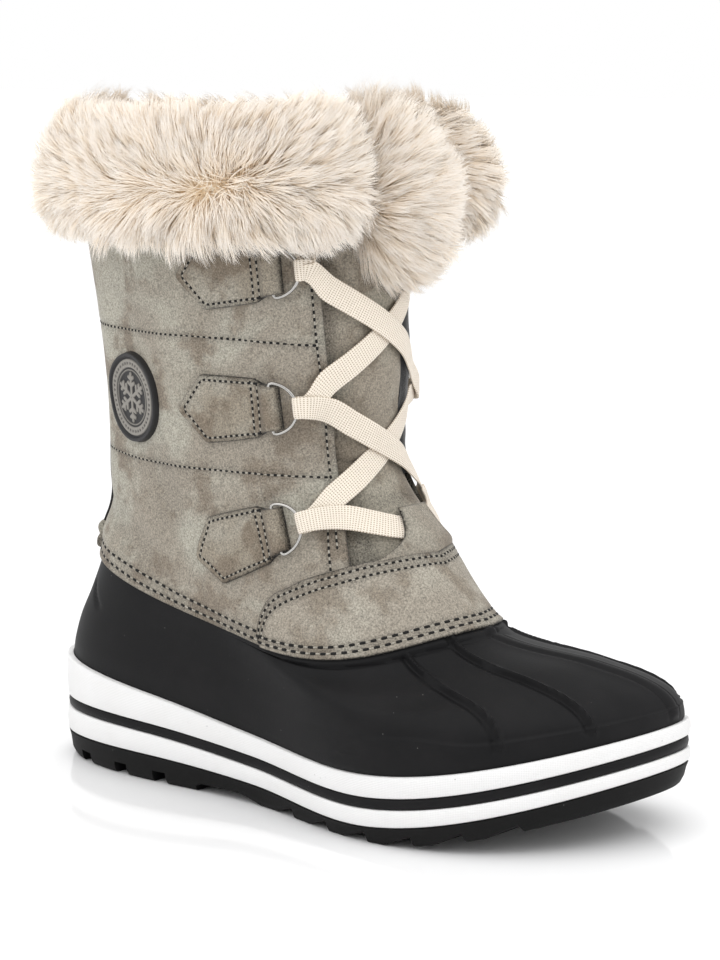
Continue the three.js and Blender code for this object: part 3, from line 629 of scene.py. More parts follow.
# Painted shade: dark marks that stand for the shade inside each hole that the needle left.
hole_shade = thread("needle hole shade", shade("#161514"), shade("#0c0b0b"))
ring_wire = steel_wire()
print("textiles and metal ready")

# %% [markdown]
# ## The stage
# The boot stands on a plain white floor and is lit as for a catalogue. The surround is white near the
# horizon and a little darker overhead, so the floor and the backdrop meet with no edge. A wide sun lights
# the whole floor evenly, and soft boxes on each side and behind round off the form. The camera looks from
# the outer side, a little above, with a long lens.

# %% Camera
CAMERA_TURN, CAMERA_RISE, CAMERA_AWAY = math.radians(36.4), math.radians(9.0), 1.100
LENS = 103.6
look_at = Vector((0.0044, 0.0047, 0.1269))


def away_from(place, turn, rise, distance):
    flat = math.cos(rise)
    return place + distance * Vector((math.sin(turn) * flat, -math.cos(turn) * flat, math.sin(rise)))


def aim(thing, place):
    thing.rotation_euler = (place - thing.location).to_track_quat("-Z", "Y").to_euler()


def on_stage(name, data, turn, rise, distance):
    """A camera or lamp that looks at the boot from a turn and a rise in radians."""
    thing = bpy.data.objects.new(name, data)
    bpy.context.collection.objects.link(thing)
    thing.location = away_from(look_at, turn, rise, distance)
    aim(thing, look_at)
    return thing


camera = on_stage("camera", bpy.data.cameras.new("camera"), CAMERA_TURN, CAMERA_RISE, CAMERA_AWAY)
camera.data.lens = LENS
bpy.context.scene.camera = camera
print("camera at", [round(v, 3) for v in camera.location])

# %% Lamps


def soft_box(name, turn, rise, distance, size, power):
    lamp = bpy.data.lights.new(name, "AREA")
    lamp.shape, lamp.size, lamp.size_y, lamp.energy = "RECTANGLE", size[0], size[1], power
    on_stage(name, lamp, math.radians(turn), math.radians(rise), distance)


def wide_sun(turn, rise, strength, spread):
    lamp = bpy.data.lights.new("wide sun", "SUN")
    lamp.energy, lamp.angle = strength, math.radians(spread)
    on_stage("wide sun", lamp, math.radians(turn), math.radians(rise), 3.0)


soft_box("left soft box", -30, 25, 1.5, (1.0, 1.4), 4)
soft_box("right soft box", 100, 28, 1.5, (0.9, 1.4), 5)
soft_box("back soft box", 205, 40, 1.6, (1.4, 1.0), 3)
wide_sun(10, 74, 1.25, 80)

# %% Surround and floor


class Surround(Finish):
    """The world's light, made with the same node method as a finish."""

    def __init__(self, name):
        self.world = bpy.data.worlds.new(name)
        self.world.use_nodes = True
        self.tree = self.world.node_tree
        self.shader = self.tree.nodes["Background"]


surround = Surround("pale surround")
direction = surround.node("ShaderNodeTexCoord", {}, {}, output="Generated")
rise = surround.node("ShaderNodeSeparateXYZ", {}, {0: direction}, output=2)
HORIZON_LIGHT, OVERHEAD_LIGHT = 1.0, 0.8
surround.feed(Strength=HORIZON_LIGHT - (HORIZON_LIGHT - OVERHEAD_LIGHT) * rise.between(0.08, 0.3))
surround.shader.inputs["Color"].default_value = (1.0, 1.0, 1.0, 1.0)
bpy.context.scene.world = surround.world
bpy.context.scene.view_settings.view_transform = "Standard"


def floor_finish():
    made = Finish("pale floor", roughness=0.1, Specular_IOR_Level=0.3)
    cloud = made.noise(0.5, 2.0)
    made.feed(Base_Color=made.colours(cloud, shade("#ffffff"), shade("#fdfdfe")),
              Roughness=0.07 + 0.05 * cloud)
    return made.material


floor_mesh = bpy.data.meshes.new("floor")
FLOOR_HALF = 12.0
corners = [(x * FLOOR_HALF, y * FLOOR_HALF, 0) for x, y in ((-1, -1), (1, -1), (1, 1), (-1, 1))]
floor_mesh.from_pydata(corners, [], [(0, 1, 2, 3)])
floor_mesh.materials.append(floor_finish())
floor = bpy.data.objects.new("floor", floor_mesh)
bpy.context.collection.objects.link(floor)
print("floor width in metres:", 2 * FLOOR_HALF)

# %% [markdown]
# ## The cup sole
# The sole is a cup of white rubber round the foot of the shell. From outside it shows two white bands with
# a black stripe sunk between them. A loft through plans of the sole at rising heights makes it: where two
# plans nearly meet, the edge turns softly, and each band bulges a little, as moulded rubber does.

# %% Midsole and stripe
AROUND = 320
TURNS = -1 + (2 * np.arange(AROUND) + 1) / AROUND
GROOVE_DEPTH, STRIPE_RECESS, WALL_OF_CUP, CUP_FLOOR_DROP, GAP = 2.6, 0.5, 2.2, 2, 0.3


def raised(line, by):
    return lambda x: line(x) + by


def between(low, high, part):
    return lambda x: mix(low(x), high(x), part)


outsole_top, lower_top = sole_line(OUTSOLE_TOP), sole_line(LOWER_BAND_TOP)
upper_foot, feather = sole_line(UPPER_BAND_FOOT), sole_line(FEATHER)
cup_floor = raised(upper_foot, -CUP_FLOOR_DROP)


def rings_of(rows):
    return np.stack([footprint(inset, height, TURNS) for inset, height in rows])


def distance_along(points):
    """How far each point of a line lies from the line's start."""
    return np.concatenate([[0], np.cumsum(np.linalg.norm(np.diff(points, axis=0), axis=1))])


def band_lay(rings):
    """Distance from the heel along the band, and height, in metres."""
    edge = footprint(0, feather, TURNS)
    side = distance_along(edge[AROUND // 2:])
    along = np.concatenate([side[::-1], side])
    lay = np.zeros(rings.shape)
    lay[..., 0] = along * MM
    lay[..., 1] = rings[..., 2] * MM
    return lay.reshape(-1, 3)


SOFT_EDGE = 0.7  # how far back a moulded edge turns
BAND_BULGE = -0.35  # a negative inset: the band swells out
under = raised(outsole_top, GAP)
midsole_rows = [(3, under), (SOFT_EDGE, under), (0.15, raised(under, 0.35)), (0, raised(under, SOFT_EDGE))]
midsole_rows += [(BAND_BULGE, between(under, lower_top, 0.5)), (0, raised(lower_top, -SOFT_EDGE))]
midsole_rows += [(0.2, raised(lower_top, -0.2)), (SOFT_EDGE, lower_top), (GROOVE_DEPTH, lower_top)]
midsole_rows += [(GROOVE_DEPTH, upper_foot), (SOFT_EDGE, upper_foot), (0.2, raised(upper_foot, 0.2))]
midsole_rows += [(0, raised(upper_foot, SOFT_EDGE)), (BAND_BULGE, between(upper_foot, feather, 0.45))]
midsole_rows += [(0, raised(feather, -SOFT_EDGE)), (0.2, raised(feather, -0.2)), (SOFT_EDGE, feather)]
midsole_rows += [(WALL_OF_CUP, feather), (WALL_OF_CUP, cup_floor)]
midsole_rings = rings_of(midsole_rows)
midsole_mesh = loft_mesh("midsole_bands", midsole_rings, {"lay": band_lay(midsole_rings)})
add_piece("midsole_bands", midsole_mesh, white_rubber, "white_rubber", "midsole", sharp=60)

stripe_low, stripe_high = raised(lower_top, GAP), raised(upper_foot, -GAP)
stripe_rows = [(STRIPE_RECESS + 0.4, stripe_low), (STRIPE_RECESS, raised(stripe_low, 0.5))]
stripe_rows += [(STRIPE_RECESS - 0.2, between(stripe_low, stripe_high, 0.5))]
stripe_rows += [(STRIPE_RECESS, raised(stripe_high, -0.5)), (STRIPE_RECESS + 0.4, stripe_high)]
stripe_rows += [(GROOVE_DEPTH - GAP, stripe_high), (GROOVE_DEPTH - GAP, stripe_low)]
add_piece("black_stripe", loop_mesh("black_stripe", rings_of(stripe_rows)), stripe_rubber, "stripe_rubber",
          "midsole_stripe", sharp=60)

# %% [markdown]
# ## The outsole's lugs
# The heel stands flat as one block with a few notches, the arch is hollow, and the forefoot bites with a row
# of saw teeth up to the toe's spring. Lugs are what is left when grooves are cut, so that is how they are
# made here: one soft-edged block, and boolean cuts by bars that bend across it in a chevron, with a
# channel down the middle of heel and forefoot.

# %% Outsole block
TOE_SPRING_START, TOE_SPRING, TOE_SPRING_POWER = 200, 19.3, 1.4
HEEL_END, ARCH_END, ARCH_RISE = 90, 116, 3.6
HEEL_NOTCHES, NOTCH_WIDTH, NOTCH_DEPTH = (26, 50, 72), 7, 5.0
TEETH, TOOTH_SLOPE, TOOTH_DEPTH = (126, 148, 170, 191, 211, 230, 247), 14, 4.2


def tread(x):
    along = np.clip((np.asarray(x, float) - TOE_SPRING_START) / (SOLE_LENGTH - TOE_SPRING_START), 0, 1)
    return TOE_SPRING * along ** TOE_SPRING_POWER


outsole_rows = [(5.0, tread), (3.4, raised(tread, 0.1)), (2.7, raised(tread, 0.6)), (1.5, raised(tread, 3))]
outsole_rows += [(0.9, between(raised(tread, 3), outsole_top, 0.6)), (0.3, raised(outsole_top, -0.4))]
outsole_rows += [(0.7, outsole_top)]
outsole = add_piece("outsole_lugs", loft_mesh("outsole_lugs", rings_of(outsole_rows)), sole_rubber,
                    "black_rubber", "outsole", sharp=35)

# %% Outsole cuts
REACH = 70  # half the length of a cutting bar


def bar(outline, bend):
    """Rings of a bent bar across the sole, from an outline of (x, height above the tread)."""
    outline = np.asarray(outline, float)
    heights = outline[:, 1] + tread(outline[:, 0])

    def ring(y, ahead):
        return np.stack([outline[:, 0] + ahead, np.full(len(outline), y), heights], -1)

    return [ring(-REACH, 0), ring(0, bend), ring(REACH, 0)]


def heel_notch(x):
    start, end, depth = x - NOTCH_WIDTH / 2, x + NOTCH_WIDTH / 2, NOTCH_DEPTH
    return bar([(start - 1, -depth), (end, -depth), (end, depth), (start, depth)], bend=3)


def saw_tooth(x):
    start, depth = x - TOOTH_SLOPE, TOOTH_DEPTH
    return bar([(start, -depth), (x, -depth), (x - 1, depth), (start, 0)], bend=6)


def hollow_arch():
    first = TEETH[0]
    return bar([(HEEL_END, -ARCH_RISE), (first, -ARCH_RISE), (first, 0.5), (ARCH_END, ARCH_RISE),
                (HEEL_END + 4, ARCH_RISE), (HEEL_END + 1, ARCH_RISE - 1.5)], bend=4)


def channel(start, end, half=3.0, depth=2.2):
    places = np.linspace(start, end, 12)
    square = np.array([(-1, -1), (1, -1), (1, 1), (-1, 1)])
    middle = curve(CENTRE_X, CENTRE_Y, places)
    return [np.stack([np.full(4, x), y + square[:, 0] * half, float(tread(x)) + square[:, 1] * depth], -1)
            for x, y in zip(places, middle)]


def cutter(name, bars):
    """One mesh of separate bars, all with the same number of points."""
    points = np.concatenate([np.concatenate(rings) for rings in bars])
    count, around = sum(len(ring) for ring in bars[0]), len(bars[0][0])
    one = np.concatenate([grid_faces(len(bars[0]), around, wrap_columns=True), across_faces(0, around, True),
                          across_faces(count - around, around, False)])
    one = turned_out(points[:count], one)
    faces = np.concatenate([one + k * count for k in range(len(bars))])
    made = bpy.data.objects.new(name, new_mesh(name, points, faces))
    bpy.context.collection.objects.link(made)
    return made


def carve(piece, tool):
    step = piece.modifiers.new("cut", "BOOLEAN")
    step.operation, step.solver, step.object = "DIFFERENCE", "EXACT", tool
    bpy.context.view_layer.objects.active = piece
    bpy.ops.object.modifier_apply(modifier=step.name)
    bpy.data.objects.remove(tool)


carve(outsole, cutter("notches and teeth", [heel_notch(x) for x in HEEL_NOTCHES]
                      + [saw_tooth(x) for x in TEETH[1:]]))
carve(outsole, cutter("arch", [hollow_arch()]))
carve(outsole, cutter("forefoot channel", [channel(132, 252)]))
carve(outsole, cutter("heel channel", [channel(12, 86)]))
outsole.data.shade_smooth()
outsole.data.set_sharp_from_angle(angle=math.radians(35))
print("outsole faces after cutting:", len(outsole.data.polygons))

# %% [markdown]
# ## Troughs and ridges laid along lines
# Ribs, creases and sewn lines are all the same idea: a line on the boot, and a height that depends on how
# far a point is from it. A line is given by a few spots, each a level and a turn, and a bell-shaped height
# across it fades out at its ends. Measuring in space, not on the map, keeps every width true.

# %% Line helpers
PATH_POINTS = 28


def path_on_boot(spots, count=PATH_POINTS):
    """Levels and turns along a smooth line through given spots."""
    spots = np.asarray(spots, float)
    if len(spots) == 2:
        spots = np.stack([spots[0], spots.mean(axis=0), spots[1]])
    steps = np.linspace(0, 1, len(spots))
    fine = np.linspace(0, 1, count)
    return curve(steps, spots[:, 0], fine), curve(steps, spots[:, 1], fine)


@lru_cache(maxsize=None)
def path_in_space(spots):
    """The same line as points in space. It is worked out once, however often it is asked for."""
    return surface(*path_on_boot(spots))


def nearest(points, path):
    """Each point's distance from a path in space, and the place along it, 0 to 1."""
    best, place = np.full(len(points), 1e9), np.zeros(len(points))
    lengths = np.linalg.norm(np.diff(path, axis=0), axis=1)
    passed = np.concatenate([[0], np.cumsum(lengths)])
    for k, (start, way) in enumerate(zip(path[:-1], np.diff(path, axis=0))):
        off = points - start
        t = np.clip(off @ way / max(way @ way, 1e-9), 0, 1)
        gap = np.linalg.norm(off - t[:, None] * way, axis=1)
        closer = gap < best
        best[closer] = gap[closer]
        place[closer] = (passed[k] + t[closer] * lengths[k]) / passed[-1]
    return best, place


def line_relief(points, spots, width, height, fade=0.18):
    """A soft ridge, or a trough where height is negative, along a line on the boot."""
    path = path_in_space(tuple(map(tuple, spots)))
    flat = points.reshape(-1, 3)
    found = np.zeros(len(flat))
    low, high = path.min(axis=0) - 3 * width, path.max(axis=0) + 3 * width
    close = np.all((flat > low) & (flat < high), axis=1)
    gap, place = nearest(flat[close], path)
    ends = smooth(0, fade, place) * smooth(1, 1 - fade, place) if fade else 1.0
    found[close] = height * np.exp(-((gap / width) ** 2)) * ends
    return found.reshape(points.shape[:-1])


RIPPLE_WAVES = 7


def ripple(points, size, seed):
    """Gentle uneven swelling of about -1 to 1, the same each run."""
    dice = np.random.default_rng(seed)
    total = np.zeros(points.shape[:-1])
    for _ in range(RIPPLE_WAVES):
        way = unit(dice.normal(size=3)) * 2 * math.pi / (size * dice.uniform(0.7, 1.6))
        total += np.sin(points @ way + dice.uniform(0, 2 * math.pi))
    return total / 4


print("a rib's path, mm:", surface(*path_on_boot([(0.39, 0.8), (0.08, 0.76)], 3)).round(1).tolist())

# %% [markdown]
# ## The moulded shell
# The foot is a shell of black rubber in one piece. Raised ribs fan out from the leather's edge over the toe,
# a low guard runs round the toe and the ball, and a thin lip follows the leather's edge. All of it is one
# height added to the surface, so the shell stays one closed skin with an even wall inside.

# %% The leather's lower edge, and the shell's relief
SHELL_WALL, SHELL_TOP, SEAM = 2.8, 0.43, 0.385


def from_front(turn):
    return np.abs((np.asarray(turn, float) + 1) % 2 - 1)


SEAM_TURNS = [0, 0.45, 0.60, 0.72, 0.85, 1.0]
SEAM_LEVELS = [0.386, 0.389, 0.395, 0.395, 0.398, 0.396]


def seam(turn):
    """Level of the leather's lower edge. It climbs a little towards the front."""
    return curve(SEAM_TURNS, SEAM_LEVELS, from_front(turn))


def level_past(start, turn, gap):
    """The level that lies gap millimetres up the boot from a starting level."""
    probe = 0.02
    rise = np.linalg.norm(surface(start + probe, turn) - surface(start, turn), axis=-1) / probe
    return start + gap / rise


RIBS = [
    [(0.392, 0.802), (0.345, 0.772), (0.300, 0.754), (0.200, 0.756), (0.060, 0.764)],
    [(0.402, 0.898), (0.355, 0.868), (0.310, 0.851), (0.200, 0.857), (0.060, 0.867)],
]
CENTRE_RIB = [(0.40, 0.985), (0.30, 0.99), (0.20, 1.01), (0.03, 1.01)]
CENTRE_EDGES = (-0.016, 0.016)
HEEL_DENT = [(0.345, 0.128), (0.31, 0.150), (0.265, 0.205)]
RIM_HEIGHT, RIM_BROAD, RIM_GROOVE = 1.1, 3.8, 0.6


def as_drawn(spots):
    return spots


def other_side(spots):
    return [(level, -turn) for level, turn in spots]


BOTH_SIDES = (as_drawn, other_side)


def behind(spots, by):
    """The same line moved round towards the heel."""
    return [(level, turn - by) for level, turn in spots]


def toe_guard(level, turn):
    """How far the low guard round toe and ball stands out, in millimetres."""
    front = from_front(turn)
    edge = curve([0.50, 0.563, 0.60, 0.75, 1.0], [-0.02, 0.033, 0.078, 0.088, 0.09], front)
    lip = 0.35 * np.exp(-(((level - edge) / 0.004) ** 2))
    return (0.7 * smooth(edge + 0.003, edge - 0.003, level) + lip) * smooth(0.50, 0.57, front)


def rim(level, turn):
    """The raised band of rubber along the leather's edge, with a thin groove below it."""
    foot = level_past(seam(turn), turn, -RIM_BROAD)
    groove = np.exp(-(((level - foot + 0.002) / 0.0022) ** 2))
    height = RIM_HEIGHT * smooth(foot - 0.001, foot + 0.002, level)
    return (height - RIM_GROOVE * groove) * smooth(0.47, 0.56, from_front(turn))


def shell_relief(level, turn, points):
    height = toe_guard(level, turn) + rim(level, turn) + 0.12 * ripple(points, 38, seed=3)
    for side in BOTH_SIDES:
        for rib in RIBS:
            height += line_relief(points, side(rib), 0.8, 1.7, fade=0.05)
            height += line_relief(points, side(behind(rib, 0.0085)), 1.0, -1.1, fade=0.05)
        height += line_relief(points, side(HEEL_DENT), 1.1, -0.9, fade=0.3)
    height += line_relief(points, CENTRE_RIB, 4.2, 1.3, fade=0.04)
    for by in CENTRE_EDGES:
        edge = [(level, turn + by) for level, turn in CENTRE_RIB]
        height += line_relief(points, edge, 1.0, -0.7, fade=0.05)
    return height


print("leather's lower edge, level at the ball:", float(seam(0.6)))

# %% Shell
toe_turns, side_turns = np.linspace(0.70, 1.0, 130), np.linspace(0.0, 0.70, 92, endpoint=False)
half_round = np.concatenate([side_turns, toe_turns])
shell_turns = np.concatenate([-half_round[:0:-1], half_round[:-1]])
shell_spans = [(0.012, 0.065, 7), (0.065, 0.10, 14), (0.10, 0.35, 30), (0.35, 0.405, 26)]
shell_rows = [np.linspace(low, high, count, endpoint=False) for low, high, count in shell_spans]
shell_rows = np.concatenate([*shell_rows, np.linspace(0.405, SHELL_TOP, 4)])
shell_level, shell_turn = crossed(shell_rows, shell_turns)
shell_face = surface(shell_level, shell_turn)
fade_in = smooth(0.0, 0.04, shell_level)
shell_outer = lift(shell_level, shell_turn, shell_relief(shell_level, shell_turn, shell_face) * fade_in)
shell_foot = raised(cup_floor, GAP)
inner_level, inner_turn = crossed([SHELL_TOP, 0.36, 0.25, 0.15, 0.06], shell_turns)
shell_rings = [footprint(BAND_PROUD, shell_foot, shell_turns), footprint(BAND_PROUD, feather, shell_turns)]
shell_rings += [*shell_outer, *lift(inner_level, inner_turn, np.full(inner_level.shape, -SHELL_WALL))]
shell_rings += [footprint(BAND_PROUD + SHELL_WALL, height, shell_turns) for height in (feather, shell_foot)]
add_piece("rubber_shell", loop_mesh("rubber_shell", shell_rings), shell_rubber, "shell_rubber", "shell",
          sharp=60)

# %% [markdown]
# ## How the leather lies
# Leather on a boot that has been laced up is never smooth. The main folds are given one by one: broad soft
# waves down the shaft's side, a hollow over the ankle, and pinches where the tabs pull. Every leather
# layer adds the same folds, so tabs and overlays follow the shaft below them.

# %% Folds shared by every leather layer
SHAFT_OVER_RUBBER, SHAFT_ABOVE = 1.9, 0.6
FOLDS = [  # spots, width in mm, height in mm
    ([(0.90, 0.44), (0.80, 0.47), (0.70, 0.45)], 9.0, 1.0),
    ([(0.70, 0.40), (0.60, 0.42), (0.52, 0.44)], 8.0, -1.1),
    ([(0.62, 0.30), (0.54, 0.36), (0.47, 0.44)], 7.0, 0.9),
    ([(0.55, 0.20), (0.49, 0.30), (0.45, 0.40)], 6.0, -0.9),
    ([(0.58, 0.08), (0.53, 0.16), (0.50, 0.26)], 5.0, -1.0),
    ([(0.49, 0.06), (0.45, 0.16), (0.43, 0.26)], 5.0, 0.8),
    ([(0.93, 0.22), (0.84, 0.25), (0.74, 0.22)], 10.0, 0.9),
    ([(0.84, 0.70), (0.78, 0.69), (0.71, 0.72)], 5.0, -0.7),
    ([(0.63, 0.70), (0.58, 0.68), (0.53, 0.70)], 5.0, -0.8),
    ([(0.60, 0.51), (0.56, 0.50), (0.50, 0.52)], 5.0, 0.7),
    ([(0.66, 0.60), (0.65, 0.66), (0.63, 0.73)], 5.0, 0.6),
    ([(0.475, 0.47), (0.455, 0.52), (0.425, 0.55)], 4.5, 0.6),
]
WRINKLES = [
    ([(0.515, 0.12), (0.500, 0.20), (0.492, 0.29)], 1.3, -0.40),
    ([(0.475, 0.10), (0.462, 0.18), (0.456, 0.26)], 1.2, -0.35),
    ([(0.560, 0.30), (0.545, 0.36), (0.538, 0.42)], 1.2, -0.30),
    ([(0.600, 0.66), (0.585, 0.70), (0.575, 0.745)], 1.0, -0.35),
    ([(0.500, 0.66), (0.492, 0.70), (0.490, 0.75)], 1.1, -0.35),
    ([(0.440, 0.905), (0.432, 0.93), (0.420, 0.945)], 0.7, -0.30),
    ([(0.452, 0.925), (0.436, 0.935), (0.428, 0.965)], 0.6, -0.25),
    ([(0.890, 0.56), (0.875, 0.60), (0.868, 0.66)], 1.2, -0.30),
    ([(0.700, 0.52), (0.690, 0.56), (0.688, 0.62)], 1.2, -0.30),
]


def form(level, turn):
    """Height in millimetres that the leather's folds add at each point of a grid."""
    points = surface(level, turn)
    height = 0.25 * ripple(points, 55, seed=11) * smooth(0.42, 0.5, level)
    for side in BOTH_SIDES:
        for spots, width, rise in FOLDS + WRINKLES:
            height += line_relief(points, side(spots), width, rise, fade=0.3)
    return height


def shaft_face(level):
    return mix(SHAFT_OVER_RUBBER, SHAFT_ABOVE, smooth(SHELL_TOP, 0.52, level))


def rounded(gap, thick, radius):
    """Thickness of a layer near its cut edge: gap is the distance from the edge in millimetres."""
    part = 1 - np.clip(gap / radius, 0, 1)
    return thick * (0.25 + 0.75 * np.sqrt(np.maximum(1 - part ** 2, 0)))


def edged(start, end, count, scale, steps=(0, 0.25, 0.6, 1.1)):
    """Values from start to end, closer together near both ends; steps are millimetres from an end."""
    near = np.array(steps) / scale
    middle = np.linspace(start + near[-1], end - near[-1], count)[1:-1]
    return np.concatenate([start + near, middle, (end - near)[::-1]])


print("folds:", len(FOLDS), "fine wrinkles:", len(WRINKLES), "on each side")

# %% [markdown]
# ## Sewn lines
# A sewn line is three things: a shallow trough pressed into the leather, a pale thread lying in it, and a
# needle hole at each end of each stitch, whose shade is painted as a dark mark. The lines are listed once, as
# spots on the boot. The leather reads them for its troughs and its darker colour, and the stitches are laid
# along them afterwards.

# %% Sewn lines on the shaft
EYESTAY_LEVELS = [0.462, 0.48, 0.53, 0.61, 0.70, 0.83, 0.95, 1.08]
EYESTAY_TURNS = [0.79, 0.80, 0.831, 0.86, 0.862, 0.842, 0.835, 0.83]
LEVEL_MM = 250  # one level is about this many millimetres up the side, and more over the instep
TURN_MM = 165  # and one turn about this many round it


def eyestay(level):
    return curve(EYESTAY_LEVELS, EYESTAY_TURNS, level)


def row_along_eyestay(back_by, low, high):
    levels = np.linspace(low, high, 9)
    return [(level, float(eyestay(level)) - back_by) for level in levels]


def edge_row(above, start, end):
    """A row of stitches some millimetres above the leather's lower edge."""
    turns = np.linspace(start, end, 12)
    return list(zip(level_past(seam(turns), turns, above).tolist(), turns.tolist()))


def edge_burnish_and_shadow(gap):
    """How much a cut edge is darkened, gap millimetres from it: partly the wax's own darkening, partly a
    painted shadow line along the edge.
    """
    gap = np.maximum(gap, 0)
    return 0.85 * np.exp(-gap / 0.5) + 0.14 * np.exp(-gap / 2.5)


SHAFT_SEAMS = [
    [(0.870, 0.02), (0.868, 0.262), (0.865, 0.55), (0.848, 0.812)],
    [(0.650, 0.02), (0.652, 0.238), (0.647, 0.577), (0.622, 0.828)],
    row_along_eyestay(0.022, 0.50, 1.02),
    row_along_eyestay(0.040, 0.475, 0.53),
]
EDGE_SEAMS = [edge_row(3.4, 0.02, 0.60), edge_row(7.6, 0.02, 0.585)]
SEAM_TROUGH, SEAM_WIDTH = -0.38, 0.8


def sewn(points, lines, width=SEAM_WIDTH, depth=SEAM_TROUGH):
    height = np.zeros(points.shape[:-1])
    for side in BOTH_SIDES:
        for spots in lines:
            height += line_relief(points, side(spots), width, depth, fade=0)
    return height


def sewn_tint(points, lines):
    """Darkening of the leather beside the stitches, 0 to 1."""
    return np.clip(sewn(points, lines, width=1.5, depth=0.30), 0, 0.34)


print("sewn lines on each side of the shaft:", len(SHAFT_SEAMS))

# %% [markdown]
# ## The shaft
# The shaft is one sheet wrapped round the leg, open at the front. Its grid runs from one edge of the throat
# round the back to the other, and below the throat the two edges meet under the vamp. The outer grid
# carries folds, troughs and rounded cut edges, and the inner one keeps clear of the rubber.

# %% Shaft
SHAFT_INNER, COLLAR, THROAT_FOOT = -2.2, 1.08, 0.462
shaft_levels = edged(SEAM, COLLAR, 104, LEVEL_MM)
shaft_parts = edged(-1, 1, 190, TURN_MM * 0.84)
level, part = crossed(shaft_levels, shaft_parts)
front_edge = eyestay(np.maximum(level, THROAT_FOOT))
turn = part * front_edge
low_edge = (level - SEAM) * LEVEL_MM
level = level + (seam(turn) - SEAM) * smooth(0.46, SEAM, level)
plain = surface(level, turn)
front_gap = (front_edge - np.abs(turn)) * TURN_MM
edge_gap = np.minimum(low_edge, front_gap)
wall = shaft_face(level) - SHAFT_INNER
outer_rise = SHAFT_INNER + rounded(front_gap, wall, 1.1)
outer_rise = np.where(low_edge < 1.1, GAP + rounded(low_edge, shaft_face(level) - GAP, 1.1), outer_rise)
inner_rise = np.where(level < SHELL_TOP + 0.012, GAP, SHAFT_INNER)
shared = form(level, turn)
over = lift(level, turn, outer_rise + shared + sewn(plain, SHAFT_SEAMS + EDGE_SEAMS))
under_face = lift(level, turn, np.minimum(inner_rise + shared, outer_rise + shared - 0.4))
burnish_and_shade = edge_burnish_and_shadow(edge_gap) + sewn_tint(plain, SHAFT_SEAMS + EDGE_SEAMS)
# Painted shade: the leather is darker in the troughs of its folds.
burnish_and_shade += 0.10 * smooth(0.3, -0.8, shared)
burnished_and_shaded("leather_shaft", over, under_face, shaft_leather, "shaft_leather", "shaft", burnish_and_shade=burnish_and_shade)

# %% [markdown]
# ## The vamp
# A second layer of leather covers the instep, from the rubber up to the foot of the throat. Its upper edge
# is an arch, held by two close rows of stitches. It is laid on the shaft's surface, and its own thickness
# rounds off at the cut edge, where the wax has darkened and a shadow line is painted along it.

# %% Vamp
OVERLAY_THICK, LOW_EDGE_THICK = 1.2, 0.7
VAMP_TURNS = [0.566, 0.573, 0.592, 0.620, 0.680, 0.785, 0.9, 1.0]
VAMP_EDGE = [0.397, 0.412, 0.438, 0.460, 0.475, 0.479, 0.474, 0.469]


def vamp_edge(turn):
    return curve(VAMP_TURNS, VAMP_EDGE, from_front(turn))


def vamp_row(below, start):
    """A row of stitches below the arch, from its foot on the outer side to the front."""
    turns = np.concatenate([start + np.array([0, 0.008, 0.02, 0.04]), np.linspace(start + 0.07, 1.0, 10)])
    return list(zip(level_past(vamp_edge(turns), turns, -below).tolist(), turns.tolist()))


VAMP_SEAMS = [vamp_row(2.0, 0.577), vamp_row(4.8, 0.584)]
VAMP_LOW_SEAMS = [edge_row(2.9, 0.574, 1.0), edge_row(6.1, 0.578, 1.0)]


def overlay_thick(level, turn):
    """The overlay is pressed thinner along its lower edge, where it meets the rubber."""
    return mix(LOW_EDGE_THICK, OVERLAY_THICK, smooth(0.0, 0.03, level - seam(turn)))


def overlay_height(level, turn, gap):
    return shaft_face(level) + form(level, turn) + rounded(gap, overlay_thick(level, turn), 1.0)


parts = edged(0, 1, 46, 28)
turns = edged(VAMP_TURNS[0], 2 - VAMP_TURNS[0], 150, TURN_MM)
part, turn = crossed(parts, turns)
foot = seam(turn) - 0.002
level = mix(foot, np.maximum(vamp_edge(turn), foot + 0.004), part)
gap = np.minimum(vamp_edge(turn) - level, level - foot) * LEVEL_MM * 1.6
gap = np.minimum(gap, (from_front(turn) - VAMP_TURNS[0]) * TURN_MM * 1.2)
plain = surface(level, turn)
over = lift(level, turn, overlay_height(level, turn, gap) + sewn(plain, VAMP_SEAMS + VAMP_LOW_SEAMS))
under_face = lift(level, turn, shaft_face(level) + form(level, turn) - 0.2)
burnish_and_shade = edge_burnish_and_shadow(gap) + sewn_tint(plain, VAMP_SEAMS + VAMP_LOW_SEAMS)
burnished_and_shaded("leather_vamp", over, under_face, vamp_leather, "vamp_leather", "vamp", burnish_and_shade=burnish_and_shade)

# %% [markdown]
# ## The tongue
# The tongue is a padded strip behind the throat. It sits low under the shaft's edges and swells up between
# them, with one crease where it bends over the instep. A padded strip this narrow keeps its shape, so it is
# drawn directly, with a soft crown.

# %% Tongue
TONGUE_TURN, TONGUE_THICK, TONGUE_CLEAR = 0.73, 4, 0.8
TONGUE_CREASES = [
    ([(0.672, 0.80), (0.655, 0.85), (0.645, 0.90), (0.640, 0.96), (0.642, 1.03), (0.655, 1.12)], 1.1, -1.1),
    ([(0.700, 0.86), (0.668, 0.93), (0.664, 1.02), (0.690, 1.12)], 5.0, 0.8),
    ([(0.560, 0.84), (0.548, 0.92), (0.546, 1.02), (0.560, 1.10)], 3.5, -0.7),
    ([(0.800, 0.90), (0.790, 0.98), (0.800, 1.08)], 6.0, 0.5),
    ([(0.870, 0.92), (0.885, 1.0), (0.880, 1.06)], 4.0, -0.5),
]


def tongue_face(turn):
    """The tongue lies below the shaft's edges and comes up to the boot's surface between them."""
    return mix(SHAFT_INNER - TONGUE_CLEAR, 0.0, smooth(0.85, 0.93, from_front(turn)))


